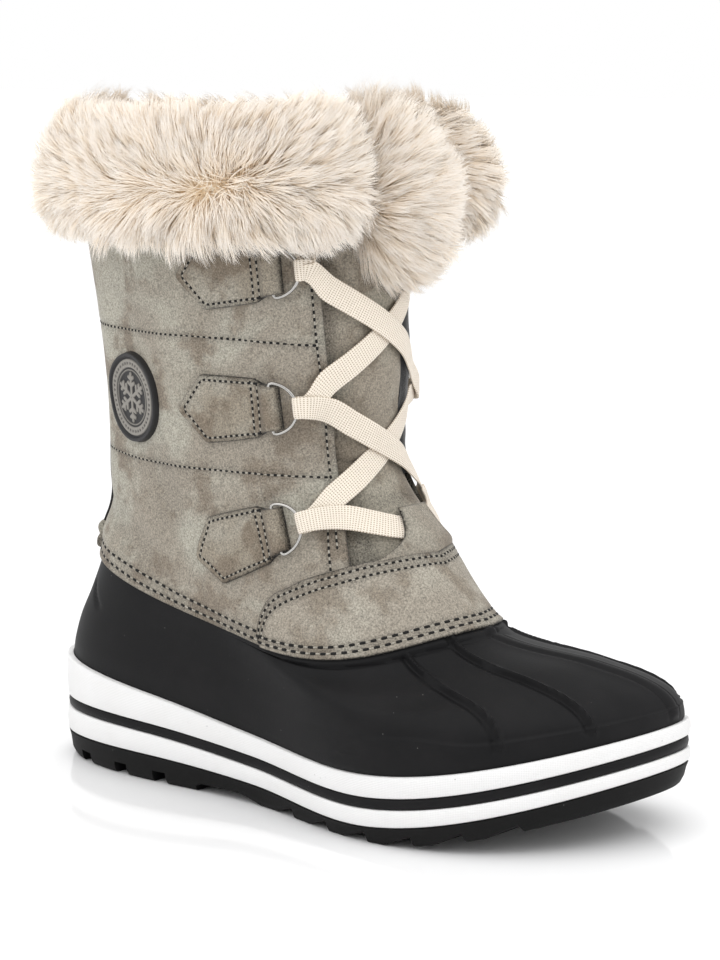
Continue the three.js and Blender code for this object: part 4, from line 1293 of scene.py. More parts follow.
levels = edged(0.463, COLLAR, 84, LEVEL_MM)
turns = edged(TONGUE_TURN, 2 - TONGUE_TURN, 66, TURN_MM)
level, turn = crossed(levels, turns)
plain = surface(level, turn)
face = tongue_face(turn)
crown = 0.5 * smooth(0.86, 0.97, from_front(turn)) + 0.22 * ripple(plain, 30, seed=5)
creases = sum(line_relief(plain, spots, width, rise, fade=0.2) for spots, width, rise in TONGUE_CREASES)
over = lift(level, turn, face + crown + creases)
under_face = lift(level, turn, face - TONGUE_THICK)
# Painted shade: the tongue is darker along its sides, where it tucks under the shaft's edges, and in its
# creases.
burnish_and_shade = 0.42 * smooth(0.885, 0.85, from_front(turn)) + 0.40 * np.clip(-creases, 0, 1)
tongue = burnished_and_shaded("padded_tongue", over, under_face, tongue_leather, "tongue_leather", "tongue",
                   burnish_and_shade=burnish_and_shade)

# %% [markdown]
# ## The lace keeper and the backstay
# At the foot of the tongue a leather loop stands off the instep, and the lowest bar of the lace runs under
# it. Up the back runs a black strip over the seam, with a crumpled end of leather under it.

# %% Lace keeper
KEEPER_FOOT, KEEPER_TOP, KEEPER_LIFT = 0.462, 0.524, 2.6
keeper_levels = [0.462, 0.474, 0.479, 0.485, 0.493, 0.505, 0.524]
keeper_turns = [0.80, 0.835, 0.880, 0.915, 0.934, 0.944, 0.951]
rows = edged(KEEPER_FOOT, KEEPER_TOP, 30, LEVEL_MM)
parts = edged(-1, 1, 60, 34)
level, part = crossed(rows, parts)
half_turn = 1 - curve(keeper_levels, keeper_turns, level)
turn = 1 + part * half_turn
gap = np.minimum((1 - np.abs(part)) * half_turn * TURN_MM, (KEEPER_TOP - level) * LEVEL_MM)
stand = mix(0.2, KEEPER_LIFT, smooth(0.466, 0.486, level))
stand += 0.35 * ripple(surface(level, turn), 16, seed=9) * smooth(0.47, 0.48, level)
over = lift(level, turn, stand + rounded(gap, OVERLAY_THICK, 0.9))
under_face = lift(level, turn, stand)
burnished_and_shaded("keeper_loop", over, under_face, keeper_leather, "keeper_leather", "lace_keeper",
          burnish_and_shade=edge_burnish_and_shadow(gap))

# %% Backstay
BACKSTAY_TURN, BACKSTAY_FOOT, BACKSTAY_TOP = 0.1, 0.44, 0.755
END_TURN, END_FOOT, END_TOP = 0.115, 0.398, 0.462  # the crumpled end of leather
level, turn = crossed(edged(BACKSTAY_FOOT, BACKSTAY_TOP, 60, LEVEL_MM),
                      edged(-BACKSTAY_TURN, BACKSTAY_TURN, 22, TURN_MM))
gap = (BACKSTAY_TURN - np.abs(turn)) * TURN_MM
stand = shaft_face(level) + form(level, turn)
over = lift(level, turn, stand + rounded(gap, 1.3, 0.8) + 0.15 * ripple(surface(level, turn), 14, seed=2))
slab("back_tape", over, lift(level, turn, stand - 0.2), black_lining, "backstay_band", "backstay")

level, turn = crossed(edged(END_FOOT, END_TOP, 26, LEVEL_MM), edged(-END_TURN, END_TURN, 36, TURN_MM))
gap = np.minimum((END_TURN - np.abs(turn)) * TURN_MM, (level - END_FOOT) * LEVEL_MM)
crumple = 0.8 * ripple(surface(level, turn), 9, seed=21)
stand = shaft_face(level) + form(level, turn)
over = lift(level, turn, stand + rounded(gap, 1.5, 1.0) + np.abs(crumple))
# Darker along its edge, partly a painted shadow line, and in patches that follow the crumple.
burnished_and_shaded("backstay_foot", over, lift(level, turn, stand - 0.2), shaft_leather, "shaft_leather",
          burnish_and_shade=0.3 * np.exp(-gap / 1.0) + 0.25 * smooth(0.2, -0.6, crumple))

# %% [markdown]
# ## Tabs, one for each ring
# Three leather tabs on each side hold the lace rings. Each is cut to a point at the back, widens, narrows
# again, and folds over the ring's straight bar. A tab is drawn in a small flat frame that touches the boot,
# with `a` forward and `b` up, and each of its points is then found on the curved surface below by a few
# steps of Newton's method.

# %% Flat frames on the boot's side


NEWTON_STEPS = 6


class SideFrame:
    """A flat frame that touches the boot: `along` points forward, `up` upwards and `out` away from it."""

    def __init__(self, level, turn, tilt=0.0):
        self.level, self.turn = level, turn
        self.origin, self.out = surface(level, turn), normal(level, turn)
        flat = unit(np.cross([0, 0, 1], self.out))
        along = flat if flat[0] > 0 else -flat
        up = unit(np.array([0, 0, 1]) - self.out * self.out[2])
        angle = math.radians(tilt)
        self.along = along * math.cos(angle) + up * math.sin(angle)
        self.up = up * math.cos(angle) - along * math.sin(angle)

    def locate(self, a, b):
        """Levels and turns of the surface points seen at (a, b) millimetres in this frame."""
        a, b = np.broadcast_arrays(np.asarray(a, float), np.asarray(b, float))
        level, turn = np.full(a.shape, self.level, float), np.full(a.shape, self.turn, float)
        step = 0.004
        for _ in range(NEWTON_STEPS):
            miss = surface(level, turn) - self.origin
            by_level = (surface(level + step, turn) - surface(level - step, turn)) / (2 * step)
            by_turn = (surface(level, turn + step) - surface(level, turn - step)) / (2 * step)
            miss_a, miss_b = a - miss @ self.along, b - miss @ self.up
            level_a, level_b = by_level @ self.along, by_level @ self.up
            turn_a, turn_b = by_turn @ self.along, by_turn @ self.up
            area = level_a * turn_b - level_b * turn_a
            level = level + (miss_a * turn_b - miss_b * turn_a) / area
            turn = turn + (level_a * miss_b - level_b * miss_a) / area
        return level, turn


TABS = [("top", 0.96, 0.625, 4.5), ("middle", 0.752, 0.605, 4.5), ("bottom", 0.533, 0.593, 20)]
tab_frames = {
    (side, name): SideFrame(level, sign * turn, tilt)
    for side, sign in (("outer", 1), ("inner", -1)) for name, level, turn, tilt in TABS
}
print("tab frames:", list(tab_frames))

# %% Tabs
TAB_BACK, TAB_END, TAB_TROUGH = -24, 23.6, 0.36
TAB_A = [-24, -21.5, -12, -11, 0, 13, 15.5, 17, 23.6]
TAB_HALF = [0.8, 3.8, 13.4, 13.6, 12.9, 11.6, 10.2, 9.4, 8.6]
TAB_THICK_A, TAB_THICK = [-24, 12, 15.5, 17.5, 20.5, 22.4, 23.6], [1.6, 1.6, 2.1, 4.2, 4.6, 4.0, 2.4]
TAB_ROWS = [  # sewn lines on a tab, in its flat frame
    [(14.0, 9.7), (-10.7, 11.6), (-21.2, 0.0), (-10.7, -11.6), (14.0, -9.7)],
    [(12.0, 10.1), (12.0, -10.1)],
    [(14.8, 9.4), (14.8, -9.4)],
]


def along_corners(corners, pitch=1.0):
    """Points every pitch millimetres along straight lines through corners."""
    corners = np.asarray(corners, float)
    points = [corners[:1]]
    for start, end in zip(corners[:-1], corners[1:]):
        count = max(int(np.linalg.norm(end - start) / pitch), 1)
        points.append(start + (end - start) * (np.arange(1, count + 1) / count)[:, None])
    return np.concatenate(points)


def tab_surface(frame, a, b, half):
    level, turn = frame.locate(a, b)
    slope = 0.8
    gap = np.minimum((half - np.abs(b)) * slope, np.minimum(a - TAB_BACK, TAB_END - a))
    thick = np.interp(a, TAB_THICK_A, TAB_THICK)
    stand = shaft_face(level) + form(level, turn) + 0.1
    return level, turn, stand, rounded(np.maximum(gap, 0), thick, 0.9), gap


def flat_gap(a, b, corners):
    """Distance in the flat frame from a line through corners."""
    points = np.stack([a.ravel(), b.ravel(), np.zeros(a.size)], -1)
    path = np.array([(*corner, 0.0) for corner in corners])
    return nearest(points, path)[0].reshape(a.shape)


def make_tab(side, name, frame):
    a_values = edged(TAB_BACK, TAB_END, 56, 1.0, steps=(0, 0.3, 0.8, 1.4))
    b_parts = edged(-1, 1, 34, 12)
    a, part = crossed(a_values, b_parts)
    half = np.interp(a, TAB_A, TAB_HALF)
    b = part * half
    level, turn, stand, thick, gap = tab_surface(frame, a, b, half)
    trough = np.zeros(a.shape)
    for corners in TAB_ROWS:
        trough = np.maximum(trough, np.exp(-((flat_gap(a, b, corners) / 0.75) ** 2)))
    # Darker along the sewn troughs, at the cut edge with its painted shadow line, and on the step where the
    # folded flap ends: its cut edge and painted shade.
    burnish_and_shade = edge_burnish_and_shadow(gap) + 0.20 * trough + 0.25 * smooth(15, 16, a) * smooth(18, 16.5, a)
    over = lift(level, turn, stand + thick - TAB_TROUGH * trough)
    node = f"tab_{side}_{name}"
    burnished_and_shaded(f"leather_{node}", over, lift(level, turn, stand - 0.1), tab_leather, "tab_leather", node,
              burnish_and_shade=burnish_and_shade)


for (side, name), frame_on_side in tab_frames.items():
    make_tab(side, name, frame_on_side)

# %% [markdown]
# ## Wire rings
# Each ring is a D bent from round wire: a straight bar in the tab's fold and a bow that reaches forward.
# A circle of points swept along the closed outline makes it, with the outline's own plane giving the
# direction across, so the wire doesn't twist.

# %% Rings
RING_WIRE, RING_HALF, RING_REACH, RING_LIFT, TAB_BAR = 0.65, 10, 11, 3.4, 20.5


def ring_axes(frame):
    level, turn = frame.locate(TAB_BAR, 0)
    out = normal(level, turn)
    up = unit(frame.up - out * (out @ frame.up))
    along = unit(np.cross(up, out))
    along = along if along @ frame.along > 0 else -along
    return lift(level, turn, RING_LIFT), along, up, out


def make_ring(side, name, frame):
    centre, along, up, out = ring_axes(frame)
    bow = np.radians(np.linspace(8, 172, 49))
    bow_points = np.stack([RING_REACH * np.sin(bow), RING_HALF * np.cos(bow)], -1)
    corner = RING_HALF - 1.0
    bar = np.stack([np.zeros(9), np.linspace(-corner, corner, 9)], -1)
    outline = np.concatenate([bar, [[0.45, corner + 0.7]], bow_points, [[0.45, -corner - 0.7]]])
    points = centre + outline[:, :1] * along + outline[:, 1:] * up
    ahead, past = np.roll(points, -1, axis=0), np.roll(points, 1, axis=0)
    across = unit(np.cross(unit(ahead - past), out))
    turns = np.linspace(0, 2 * math.pi, 14, endpoint=False)
    rings = (points[:, None] + RING_WIRE * (np.cos(turns)[None, :, None] * across[:, None]
                                             + np.sin(turns)[None, :, None] * out))
    node = f"ring_{side}_{name}"
    add_piece(f"wire_{node}", loop_mesh(node, rings), ring_wire, "ring_wire", node)


for (side, name), frame_on_side in tab_frames.items():
    make_ring(side, name, frame_on_side)

# %% [markdown]
# ## The badge
# A round black rubber badge is fused to the outer side. Its face is a few rings round a plain snow star, all
# raised and rubbed grey. The face is a fine polar grid, and its height comes from the distance to each
# circle and to each arm of the star, so the star is real relief and not a picture.

# %% Badge
BADGE_LEVEL, BADGE_TURN, BADGE_RADIUS, BEVEL_START = 0.76, 0.34, 18.5, 18.1
BADGE_STAND, GREY_RISE, RIM_RISE = 1.5, 0.55, 1.0
badge_frame = SideFrame(BADGE_LEVEL, BADGE_TURN)


def star_gap(a, b):
    """Distance from a six-armed snow star with two pairs of branches on each arm."""
    gap = np.full(a.shape, 1e9)
    points = np.stack([a.ravel(), b.ravel(), np.zeros(a.size)], -1)
    for k in range(6):
        angle = k * math.pi / 3 + math.pi / 6
        ray = np.array([math.cos(angle), math.sin(angle), 0])
        lines = [(0 * ray, 9.6 * ray)]
        for reach, length in ((4.6, 2.6), (7.2, 2.0)):
            for lean in (-math.pi / 3, math.pi / 3):
                arm = np.array([math.cos(angle + lean), math.sin(angle + lean), 0])
                lines.append((reach * ray, reach * ray + length * arm))
        for start, end in lines:
            gap = np.minimum(gap, nearest(points, np.array([start, end]))[0].reshape(a.shape))
    return gap


def band(radius, inner, outer, soft=0.22):
    return smooth(inner - soft, inner + soft, radius) * smooth(outer + soft, outer - soft, radius)


radii = np.concatenate([np.linspace(0.3, 16.6, 66), np.linspace(16.8, BADGE_RADIUS, 10)])
angles = np.linspace(0, 2 * math.pi, 180, endpoint=False)
radius, angle = crossed(radii, angles)
a, b = radius * np.cos(angle), radius * np.sin(angle)
beads = smooth(-0.2, 0.5, np.sin(angle * 42)) * band(radius, 13.4, 14.4)
star = smooth(0.95, 0.55, star_gap(a, b))
grey = np.maximum.reduce([band(radius, 12.2, 15.6) * (1 - 0.9 * beads), band(radius, 10.9, 11.4), star])
badge_rim = band(radius, 16.5, 18.2, soft=0.4)
rise = BADGE_STAND + GREY_RISE * grey + RIM_RISE * badge_rim
rise = np.where(radius > BEVEL_START, BADGE_STAND * smooth(18.55, BEVEL_START, radius), rise)
level, turn = badge_frame.locate(a, b)
stand = SHAFT_ABOVE + form(level, turn)
face_points = lift(level, turn, stand + rise).reshape(-1, 3)
foot_points = lift(level, turn, stand - 0.2)[-1]
points = np.concatenate([face_points, foot_points, face_points[:len(angles)].mean(axis=0)[None]])
side_start = len(face_points) - len(angles)
k = np.arange(len(angles))
after = (k + 1) % len(angles)
skirt = np.stack([side_start + k, len(face_points) + k, len(face_points) + after, side_start + after], -1)
middle = np.stack([np.full(len(k), len(points) - 1), after, k], -1)
back_face = across_faces(len(face_points), len(angles), False)
faces = np.concatenate([grid_faces(len(radii), len(angles), wrap_columns=True)[:, ::-1], skirt, back_face])


def badge_finish():
    made = Finish("badge rubber", roughness=0.5, Specular_IOR_Level=0.4)
    rubbed = made.mark("grey") * (0.75 + 0.4 * made.noise(0.0015, 3.0, 0.7))
    made.feed(Base_Color=made.colours(rubbed, shade("#1c1b1c"), shade("#8b8780")),
              Normal=made.bump(made.noise(0.0006, 2.0), 0.00008, 1.0))
    return made.material


greys = np.concatenate([grey.ravel(), np.zeros(len(angles)), [1.0]])
add_piece("snow_badge", new_mesh("snow_badge", points, faces, middle, marks={"grey": greys}), badge_finish(),
          "badge_rubber", "badge")

# %% [markdown]
# ## The lace
# The lace is one flat plaited band. It comes from under the fur, goes through the outer top ring, crosses to
# the inner middle ring, and so on down to the bar at the foot and back up on the other side. At each ring it
# folds over the wire. So the route is a list of stations, each a point and the direction of the band's
# width, joined by smooth curves; a flat oval is then swept along them.

# %% Lace route
LACE_WIDTH, LACE_THICK = 10.0, 1.25
RING_TIGHT = 0.84  # the band gathers to this share of its width in a ring
ring_sets = {key: ring_axes(value) for key, value in tab_frames.items()}


def bow_of(side, name):
    centre, along, up, out = ring_sets[side, name]
    return centre + along * RING_REACH, along, up, out


def crossing(start, end, height, dip=0.0, count=7, margin=0.12):
    """Stations over the front between two rings. start and end are (side, name) of the rings."""
    sign = {"outer": 1, "inner": -1}
    near = {"top": (0.955, 0.800), "middle": (0.767, 0.790), "bottom": (0.556, 0.785)}
    (level_0, turn_0), (level_1, turn_1) = near[start[1]], near[end[1]]
    first = turn_0 if sign[start[0]] > 0 else 2 - turn_0
    last = turn_1 if sign[end[0]] > 0 else 2 - turn_1
    part = np.linspace(0, 1, 60)
    turn = mix(first, last, part)
    flat = surface(np.full(60, 0.7), turn)
    length = distance_along(flat)
    wanted = np.linspace(margin, 1 - margin, count)
    turn = np.interp(wanted, length / length[-1], turn)
    level = mix(level_0, level_1, wanted) - dip * np.sin(np.pi * wanted)
    points = lift(level, turn, height(wanted))
    out = normal(level, turn)
    way = unit(np.gradient(points, axis=0))
    return points, unit(np.cross(way, out))


def fold_over(side, name, over_first):
    """Stations of the band going round a ring's wire, from over it to under it or back."""
    bow, along, up, out = bow_of(side, name)
    clear = RING_WIRE + LACE_THICK * 0.55
    stations = [bow + along * 2.6 + out * (clear - 0.2), bow + out * clear,
                bow - along * clear * 0.95 + out * 0.1, bow - out * clear * 0.9,
                bow + along * 2.8 - out * 1.4]
    if not over_first:
        stations = stations[::-1]
    return np.array(stations), np.repeat(up[None], 5, axis=0)


def lower(part):
    """Height above the boot of a stretch that lies next to the tongue, in millimetres."""
    return 1.75 + 0.5 * (1 - np.sin(np.pi * part)) ** 2


def upper(part):
    """Height of a stretch that crosses over another one at its middle."""
    rise = smooth(0.22, 0.42, part) * smooth(0.78, 0.58, part)
    return 2.1 + 1.25 * rise + 1.3 * (1 - np.sin(np.pi * part)) ** 2


def under_keeper(part):
    return mix(2.0, 1.35, smooth(0.15, 0.32, part) * smooth(0.85, 0.68, part))


def hidden_end(side, sign):
    """The lace's end, going up from the top ring and under the fur."""
    level, turn = np.array([0.995, 1.03]), sign * np.array([0.800, 0.815])
    points = lift(level, turn, np.array([2.2, 3.0]))
    _, along, up, _ = bow_of(side, "top")
    return points[::-1], np.repeat(unit(along + 0.35 * up)[None], 2, axis=0)


ROUTE = [
    hidden_end("outer", 1),
    fold_over("outer", "top", over_first=False),
    crossing(("outer", "top"), ("inner", "middle"), upper),
    fold_over("inner", "middle", over_first=True),
    crossing(("inner", "middle"), ("outer", "bottom"), lower),
    fold_over("outer", "bottom", over_first=False),
    crossing(("outer", "bottom"), ("inner", "bottom"), under_keeper, dip=0.063, count=9),
    fold_over("inner", "bottom", over_first=True),
    crossing(("inner", "bottom"), ("outer", "middle"), upper),
    fold_over("outer", "middle", over_first=True),
    crossing(("outer", "middle"), ("inner", "top"), lower),
    fold_over("inner", "top", over_first=True),
    [stations[::-1] for stations in hidden_end("inner", -1)],
]

# %% Lace band


def even_sides(sides):
    """Width directions turned so that each agrees with the one before."""
    sides = sides.copy()
    for k in range(1, len(sides)):
        if sides[k] @ sides[k - 1] < 0:
            sides[k] *= -1
    return sides


stations = np.concatenate([points for points, _ in ROUTE])
widths_of_way = even_sides(np.concatenate([sides for _, sides in ROUTE]))
in_ring = np.concatenate([np.full(len(points), float(len(points) == 5)) for points, _ in ROUTE])
place = distance_along(stations)
fine = np.arange(0, place[-1], 0.55)
line = curve(place, np.repeat(stations[:, None], len(fine), axis=1), np.repeat(fine[:, None], 3, axis=1))
side_line = curve(place, np.repeat(widths_of_way[:, None], len(fine), axis=1),
                  np.repeat(fine[:, None], 3, axis=1))
way = unit(np.gradient(line, axis=0))
side_line = unit(side_line - way * np.sum(side_line * way, axis=1, keepdims=True))
face_line = np.cross(way, side_line)
width = LACE_WIDTH * mix(1.0, RING_TIGHT, np.interp(fine, place, in_ring))
oval = np.linspace(0, 2 * math.pi, 18, endpoint=False)
flat_oval = np.sign(np.cos(oval)) * np.abs(np.cos(oval)) ** 0.45
high_oval = np.sign(np.sin(oval)) * np.abs(np.sin(oval)) ** 0.8
lace_rings = (line[:, None] + side_line[:, None] * (flat_oval[None, :, None] * width[:, None, None] / 2)
              + face_line[:, None] * (high_oval[None, :, None] * LACE_THICK / 2))
lay = np.zeros(lace_rings.shape)
lay[..., 0] = (distance_along(line) * MM)[:, None]
lay[..., 1] = flat_oval * LACE_WIDTH / 2 * MM
add_piece("plaited_lace", loft_mesh("plaited_lace", lace_rings, {"lay": lay.reshape(-1, 3)}), lace_webbing,
          "lace_webbing", "lace")
print("lace length, mm:", round(float(lay[-1, 0, 0] / MM)))

# %% [markdown]
# ## Stitches
# One stitch is a small spindle of thread, a few faces long. Copies of it are laid along every sewn line in
# one go with arrays, each turned to its line and to the leather below it, and joined into one mesh. Dark
# spindles, shorter and broader, sit between them as painted shade: they stand for the shade inside each hole
# that the needle left.

# %% Stitch builder


def spindle(sides=6):
    """Points and faces of a unit spindle along x."""
    angles = np.linspace(0, 2 * math.pi, sides, endpoint=False)
    rows = [(-0.36, 0.42), (0.0, 0.5), (0.36, 0.42)]
    rings = [np.stack([np.full(sides, x), r * np.cos(angles), r * np.sin(angles)], -1) for x, r in rows]
    points = np.concatenate([*rings, [[-0.5, 0, 0], [0.5, 0, 0]]])
    k = np.arange(sides)
    after = (k + 1) % sides
    tips = np.concatenate([np.stack([np.full(sides, 3 * sides), after, k], -1),
                           np.stack([np.full(sides, 3 * sides + 1), 2 * sides + k, 2 * sides + after], -1)])
    return points, grid_faces(3, sides, wrap_columns=True), tips


def strew(places, ways, outs, size):
    """Copies of a spindle at places: size is length, width and height in millimetres."""
    points, quads, tips = spindle()
    across = unit(np.cross(outs, ways))
    axes = np.stack([ways, across, outs], 1) * np.asarray(size)[None, :, None]
    copies = places[:, None] + np.einsum("pk,nkj->npj", points, axes)
    starts = (np.arange(len(places)) * len(points))[:, None, None]
    return copies.reshape(-1, 3), (quads + starts).reshape(-1, 4), (tips + starts).reshape(-1, 3)


def spaced(points, outs, pitch):
    """Mid-points, directions and normals of stitches of a pitch along a line of points."""
    place = distance_along(points)
    count = max(int(round(place[-1] / pitch)), 1)
    ends = np.linspace(0, place[-1], count + 1)

    def at(values, where):
        return np.stack([np.interp(where, place, values[:, k]) for k in range(3)], -1)

    knots = at(points, ends)
    middles, ways = (knots[1:] + knots[:-1]) / 2, unit(knots[1:] - knots[:-1])
    return middles, ways, unit(at(outs, (ends[1:] + ends[:-1]) / 2)), knots, unit(at(outs, ends))


print("points of one stitch:", len(spindle()[0]))

# %% Laying the stitches
threads, holes = [], []
FINE_HOLE, BOLD_HOLE = (1.7, 1.05, 0.58), (2.8, 1.3, 0.66)
FINE_PITCH, BOLD_PITCH, TAB_PITCH = 2.8, 4.3, 2.6


def sew(level, turn, height, pitch, hole):
    """Lays stitches along a line on the boot, at a height above its surface."""
    points, outs = lift(level, turn, height), normal(level, turn)
    middles, ways, faces, knots, knot_outs = spaced(points, outs, pitch)
    threads.append((middles + faces * 0.02, ways, faces, (pitch * 0.86, 0.85, 0.62)))
    knot_ways = unit(np.concatenate([ways[:1], ways]) + np.concatenate([ways, ways[-1:]]))
    # A dark spindle at each knot is painted shade, standing for the shade inside the needle's hole.
    holes.append((knots + knot_outs * 0.12, knot_ways, knot_outs, hole))


def sew_boot(spots, on_overlay=False, pitch=FINE_PITCH, hole=FINE_HOLE, count=90):
    for side in BOTH_SIDES:
        level, turn = path_on_boot(side(spots), count)
        thick = overlay_thick(level, turn) if on_overlay else 0.0
        sew(level, turn, shaft_face(level) + form(level, turn) + thick + SEAM_TROUGH, pitch, hole)


for spots in SHAFT_SEAMS:
    sew_boot(spots)
for spots in EDGE_SEAMS:
    sew_boot(spots, pitch=BOLD_PITCH, hole=BOLD_HOLE)
for spots in VAMP_SEAMS:
    sew_boot(spots, on_overlay=True)
for spots in VAMP_LOW_SEAMS:
    sew_boot(spots, on_overlay=True, pitch=BOLD_PITCH, hole=BOLD_HOLE)
for frame_on_side in tab_frames.values():
    for corners in TAB_ROWS:
        flat = along_corners(corners)
        half = np.interp(flat[:, 0], TAB_A, TAB_HALF)
        level, turn, stand, thick, _ = tab_surface(frame_on_side, flat[:, 0], flat[:, 1], half)
        sew(level, turn, stand + thick - TAB_TROUGH, pitch=TAB_PITCH, hole=FINE_HOLE)


def join_spindles(name, groups, finish, slot):
    places, ways, outs = (np.concatenate([group[k] for group in groups]) for k in range(3))
    sizes = np.concatenate([np.repeat([group[3]], len(group[0]), axis=0) for group in groups])
    points, quads, tips = [], [], []
    start = 0
    for size in np.unique(sizes, axis=0):
        chosen = np.all(sizes == size, axis=1)
        made, four, three = strew(places[chosen], ways[chosen], outs[chosen], size)
        points.append(made)
        quads.append(four + start)
        tips.append(three + start)
        start += len(made)
    mesh = new_mesh(name, np.concatenate(points), np.concatenate(quads), np.concatenate(tips))
    add_piece(name, mesh, finish, slot)
    print(name, "count:", len(places))


join_spindles("seam_stitches", threads, pale_thread, "shaft_leather")
join_spindles("needle_hole_shade", holes, hole_shade, "shaft_leather")

# %% [markdown]
# ## Inside the boot
# The boot is lined with fleece: a leg lining behind the leather, a foot lining inside the rubber, a backing
# on the tongue, and the insole's cover. A thin black gusset joins the tongue to the shaft, and its edge
# shows beside the tongue on the inner side. Each is a thin slab on the boot's own surface.

# %% Lining
FLEECE_EDGE = 0.72


def fleece_slab(name, levels, turns, face, thick, seed):
    level, turn = crossed(levels, turns)
    tufts = 0.25 * ripple(surface(level, turn), 9, seed)
    follow = form(level, turn)
    near_leather = lift(level, turn, face(turn) + follow)
    near_foot = lift(level, turn, face(turn) - thick + follow + tufts)
    return slab(name, near_leather, near_foot, fleece, "fleece")


fleece_slab("leg_lining", np.linspace(0.445, 1.065, 44), np.linspace(-FLEECE_EDGE, FLEECE_EDGE, 72),
            lambda turn: np.full(turn.shape, SHAFT_INNER - 0.2), 1.3, seed=31)
fleece_slab("tongue_backing", np.linspace(0.475, 1.07, 40), np.linspace(0.76, 1.24, 32),
            lambda turn: tongue_face(turn) - TONGUE_THICK - 0.1, 1.3, seed=32)
foot_levels = np.linspace(0.07, 0.435, 22)
foot_turns = -1 + (2 * np.arange(120) + 1) / 120
level, turn = crossed(foot_levels, foot_turns)
tufts = 0.25 * ripple(surface(level, turn), 9, seed=33)
foot_rings = [*lift(level, turn, np.full(level.shape, -SHELL_WALL - 0.2)),
              *lift(level, turn, -SHELL_WALL - 1.5 + tufts)[::-1]]
add_piece("foot_lining", loop_mesh("foot_lining", foot_rings), fleece, "fleece")
frame["nodes"]["insole"].data.materials.clear()
frame["nodes"]["insole"].data.materials.append(fleece)

# %% Gusset
GUSSET_BACK, GUSSET_FRONT = -0.835, -0.925
level, turn = crossed(np.linspace(0.60, 0.96, 40), np.linspace(GUSSET_BACK, GUSSET_FRONT, 16))
swell = smooth(GUSSET_BACK, -0.87, turn) * smooth(GUSSET_FRONT, -0.89, turn)
fold = 0.3 + 1.6 * swell + 0.3 * ripple(surface(level, turn), 12, seed=35)
slab("black_gusset", lift(level, turn, fold), lift(level, turn, fold - 0.5), black_lining, "shaft_leather")

# %% [markdown]
# ## Fur
# The cuff and the tongue's head are long-haired fur. A solid backing alone would look like felt, so the
# backing is kept small and thousands of hairs grow from it. Each hair is a tapered ribbon of three
# segments that leaves the skin steeply and bends the way that the fur is combed. Hairs gather in tufts: every
# hair's tip is drawn towards the tip of its tuft's middle hair. Arrays grow all of them at once.

# %% Hair builder
HAIR_PLACES = np.array([0.0, 0.4, 0.75, 1.0])  # along a hair, from root to tip
HAIR_HALF = np.array([0.14, 0.12, 0.08])  # half a hair's width at all but its tip, in millimetres
HAIRS_IN_TUFT = 18
HAIR_POINTS = 7  # two for each width, and the tip
WANDER, WANDER_SIZE = 0.35, 26  # how much the combing wanders, and over how many millimetres
STRAY, WAVER = 0.16, 0.28  # how much one hair strays from the combing, and wavers along its length


def skin_samples(grid, count, dice, weight):
    """Points spread evenly over a grid of skin, with their normals and places in the grid."""
    a, b = grid[1:, :-1] - grid[:-1, :-1], grid[:-1, 1:] - grid[:-1, :-1]
    area = np.linalg.norm(np.cross(a, b), axis=-1) * weight[:-1, :-1]
    chosen = dice.choice(area.size, count, p=(area / area.sum()).ravel())
    row, column = np.divmod(chosen, area.shape[1])
    s, t = dice.random((2, count))
    corner = [grid[row, column], grid[row + 1, column], grid[row, column + 1], grid[row + 1, column + 1]]
    points = mix(mix(corner[0], corner[1], s[:, None]), mix(corner[2], corner[3], s[:, None]), t[:, None])
    outs = unit(np.cross(mix(corner[2] - corner[0], corner[3] - corner[1], s[:, None]),
                         mix(corner[1] - corner[0], corner[3] - corner[2], t[:, None])))
    return points, outs, (row + s) / (grid.shape[0] - 1), (column + t) / (grid.shape[1] - 1)


def swirl(points, size, seed):
    """A smooth field of random pushes, each part about -1 to 1."""
    return np.stack([ripple(points, size, seed + k) for k in range(3)], -1)


def tufts_of(points, dice):
    """The index of each hair's tuft leader."""
    leaders = dice.choice(len(points), max(len(points) // HAIRS_IN_TUFT, 1), replace=False)
    tree = kdtree.KDTree(len(leaders))
    for k, leader in enumerate(leaders):
        tree.insert(points[leader], k)
    tree.balance()
    return leaders[[tree.find(point)[1] for point in points]]


print("hair segments:", len(HAIR_PLACES) - 1, "hairs in a tuft:", HAIRS_IN_TUFT)

# %% Growing hair


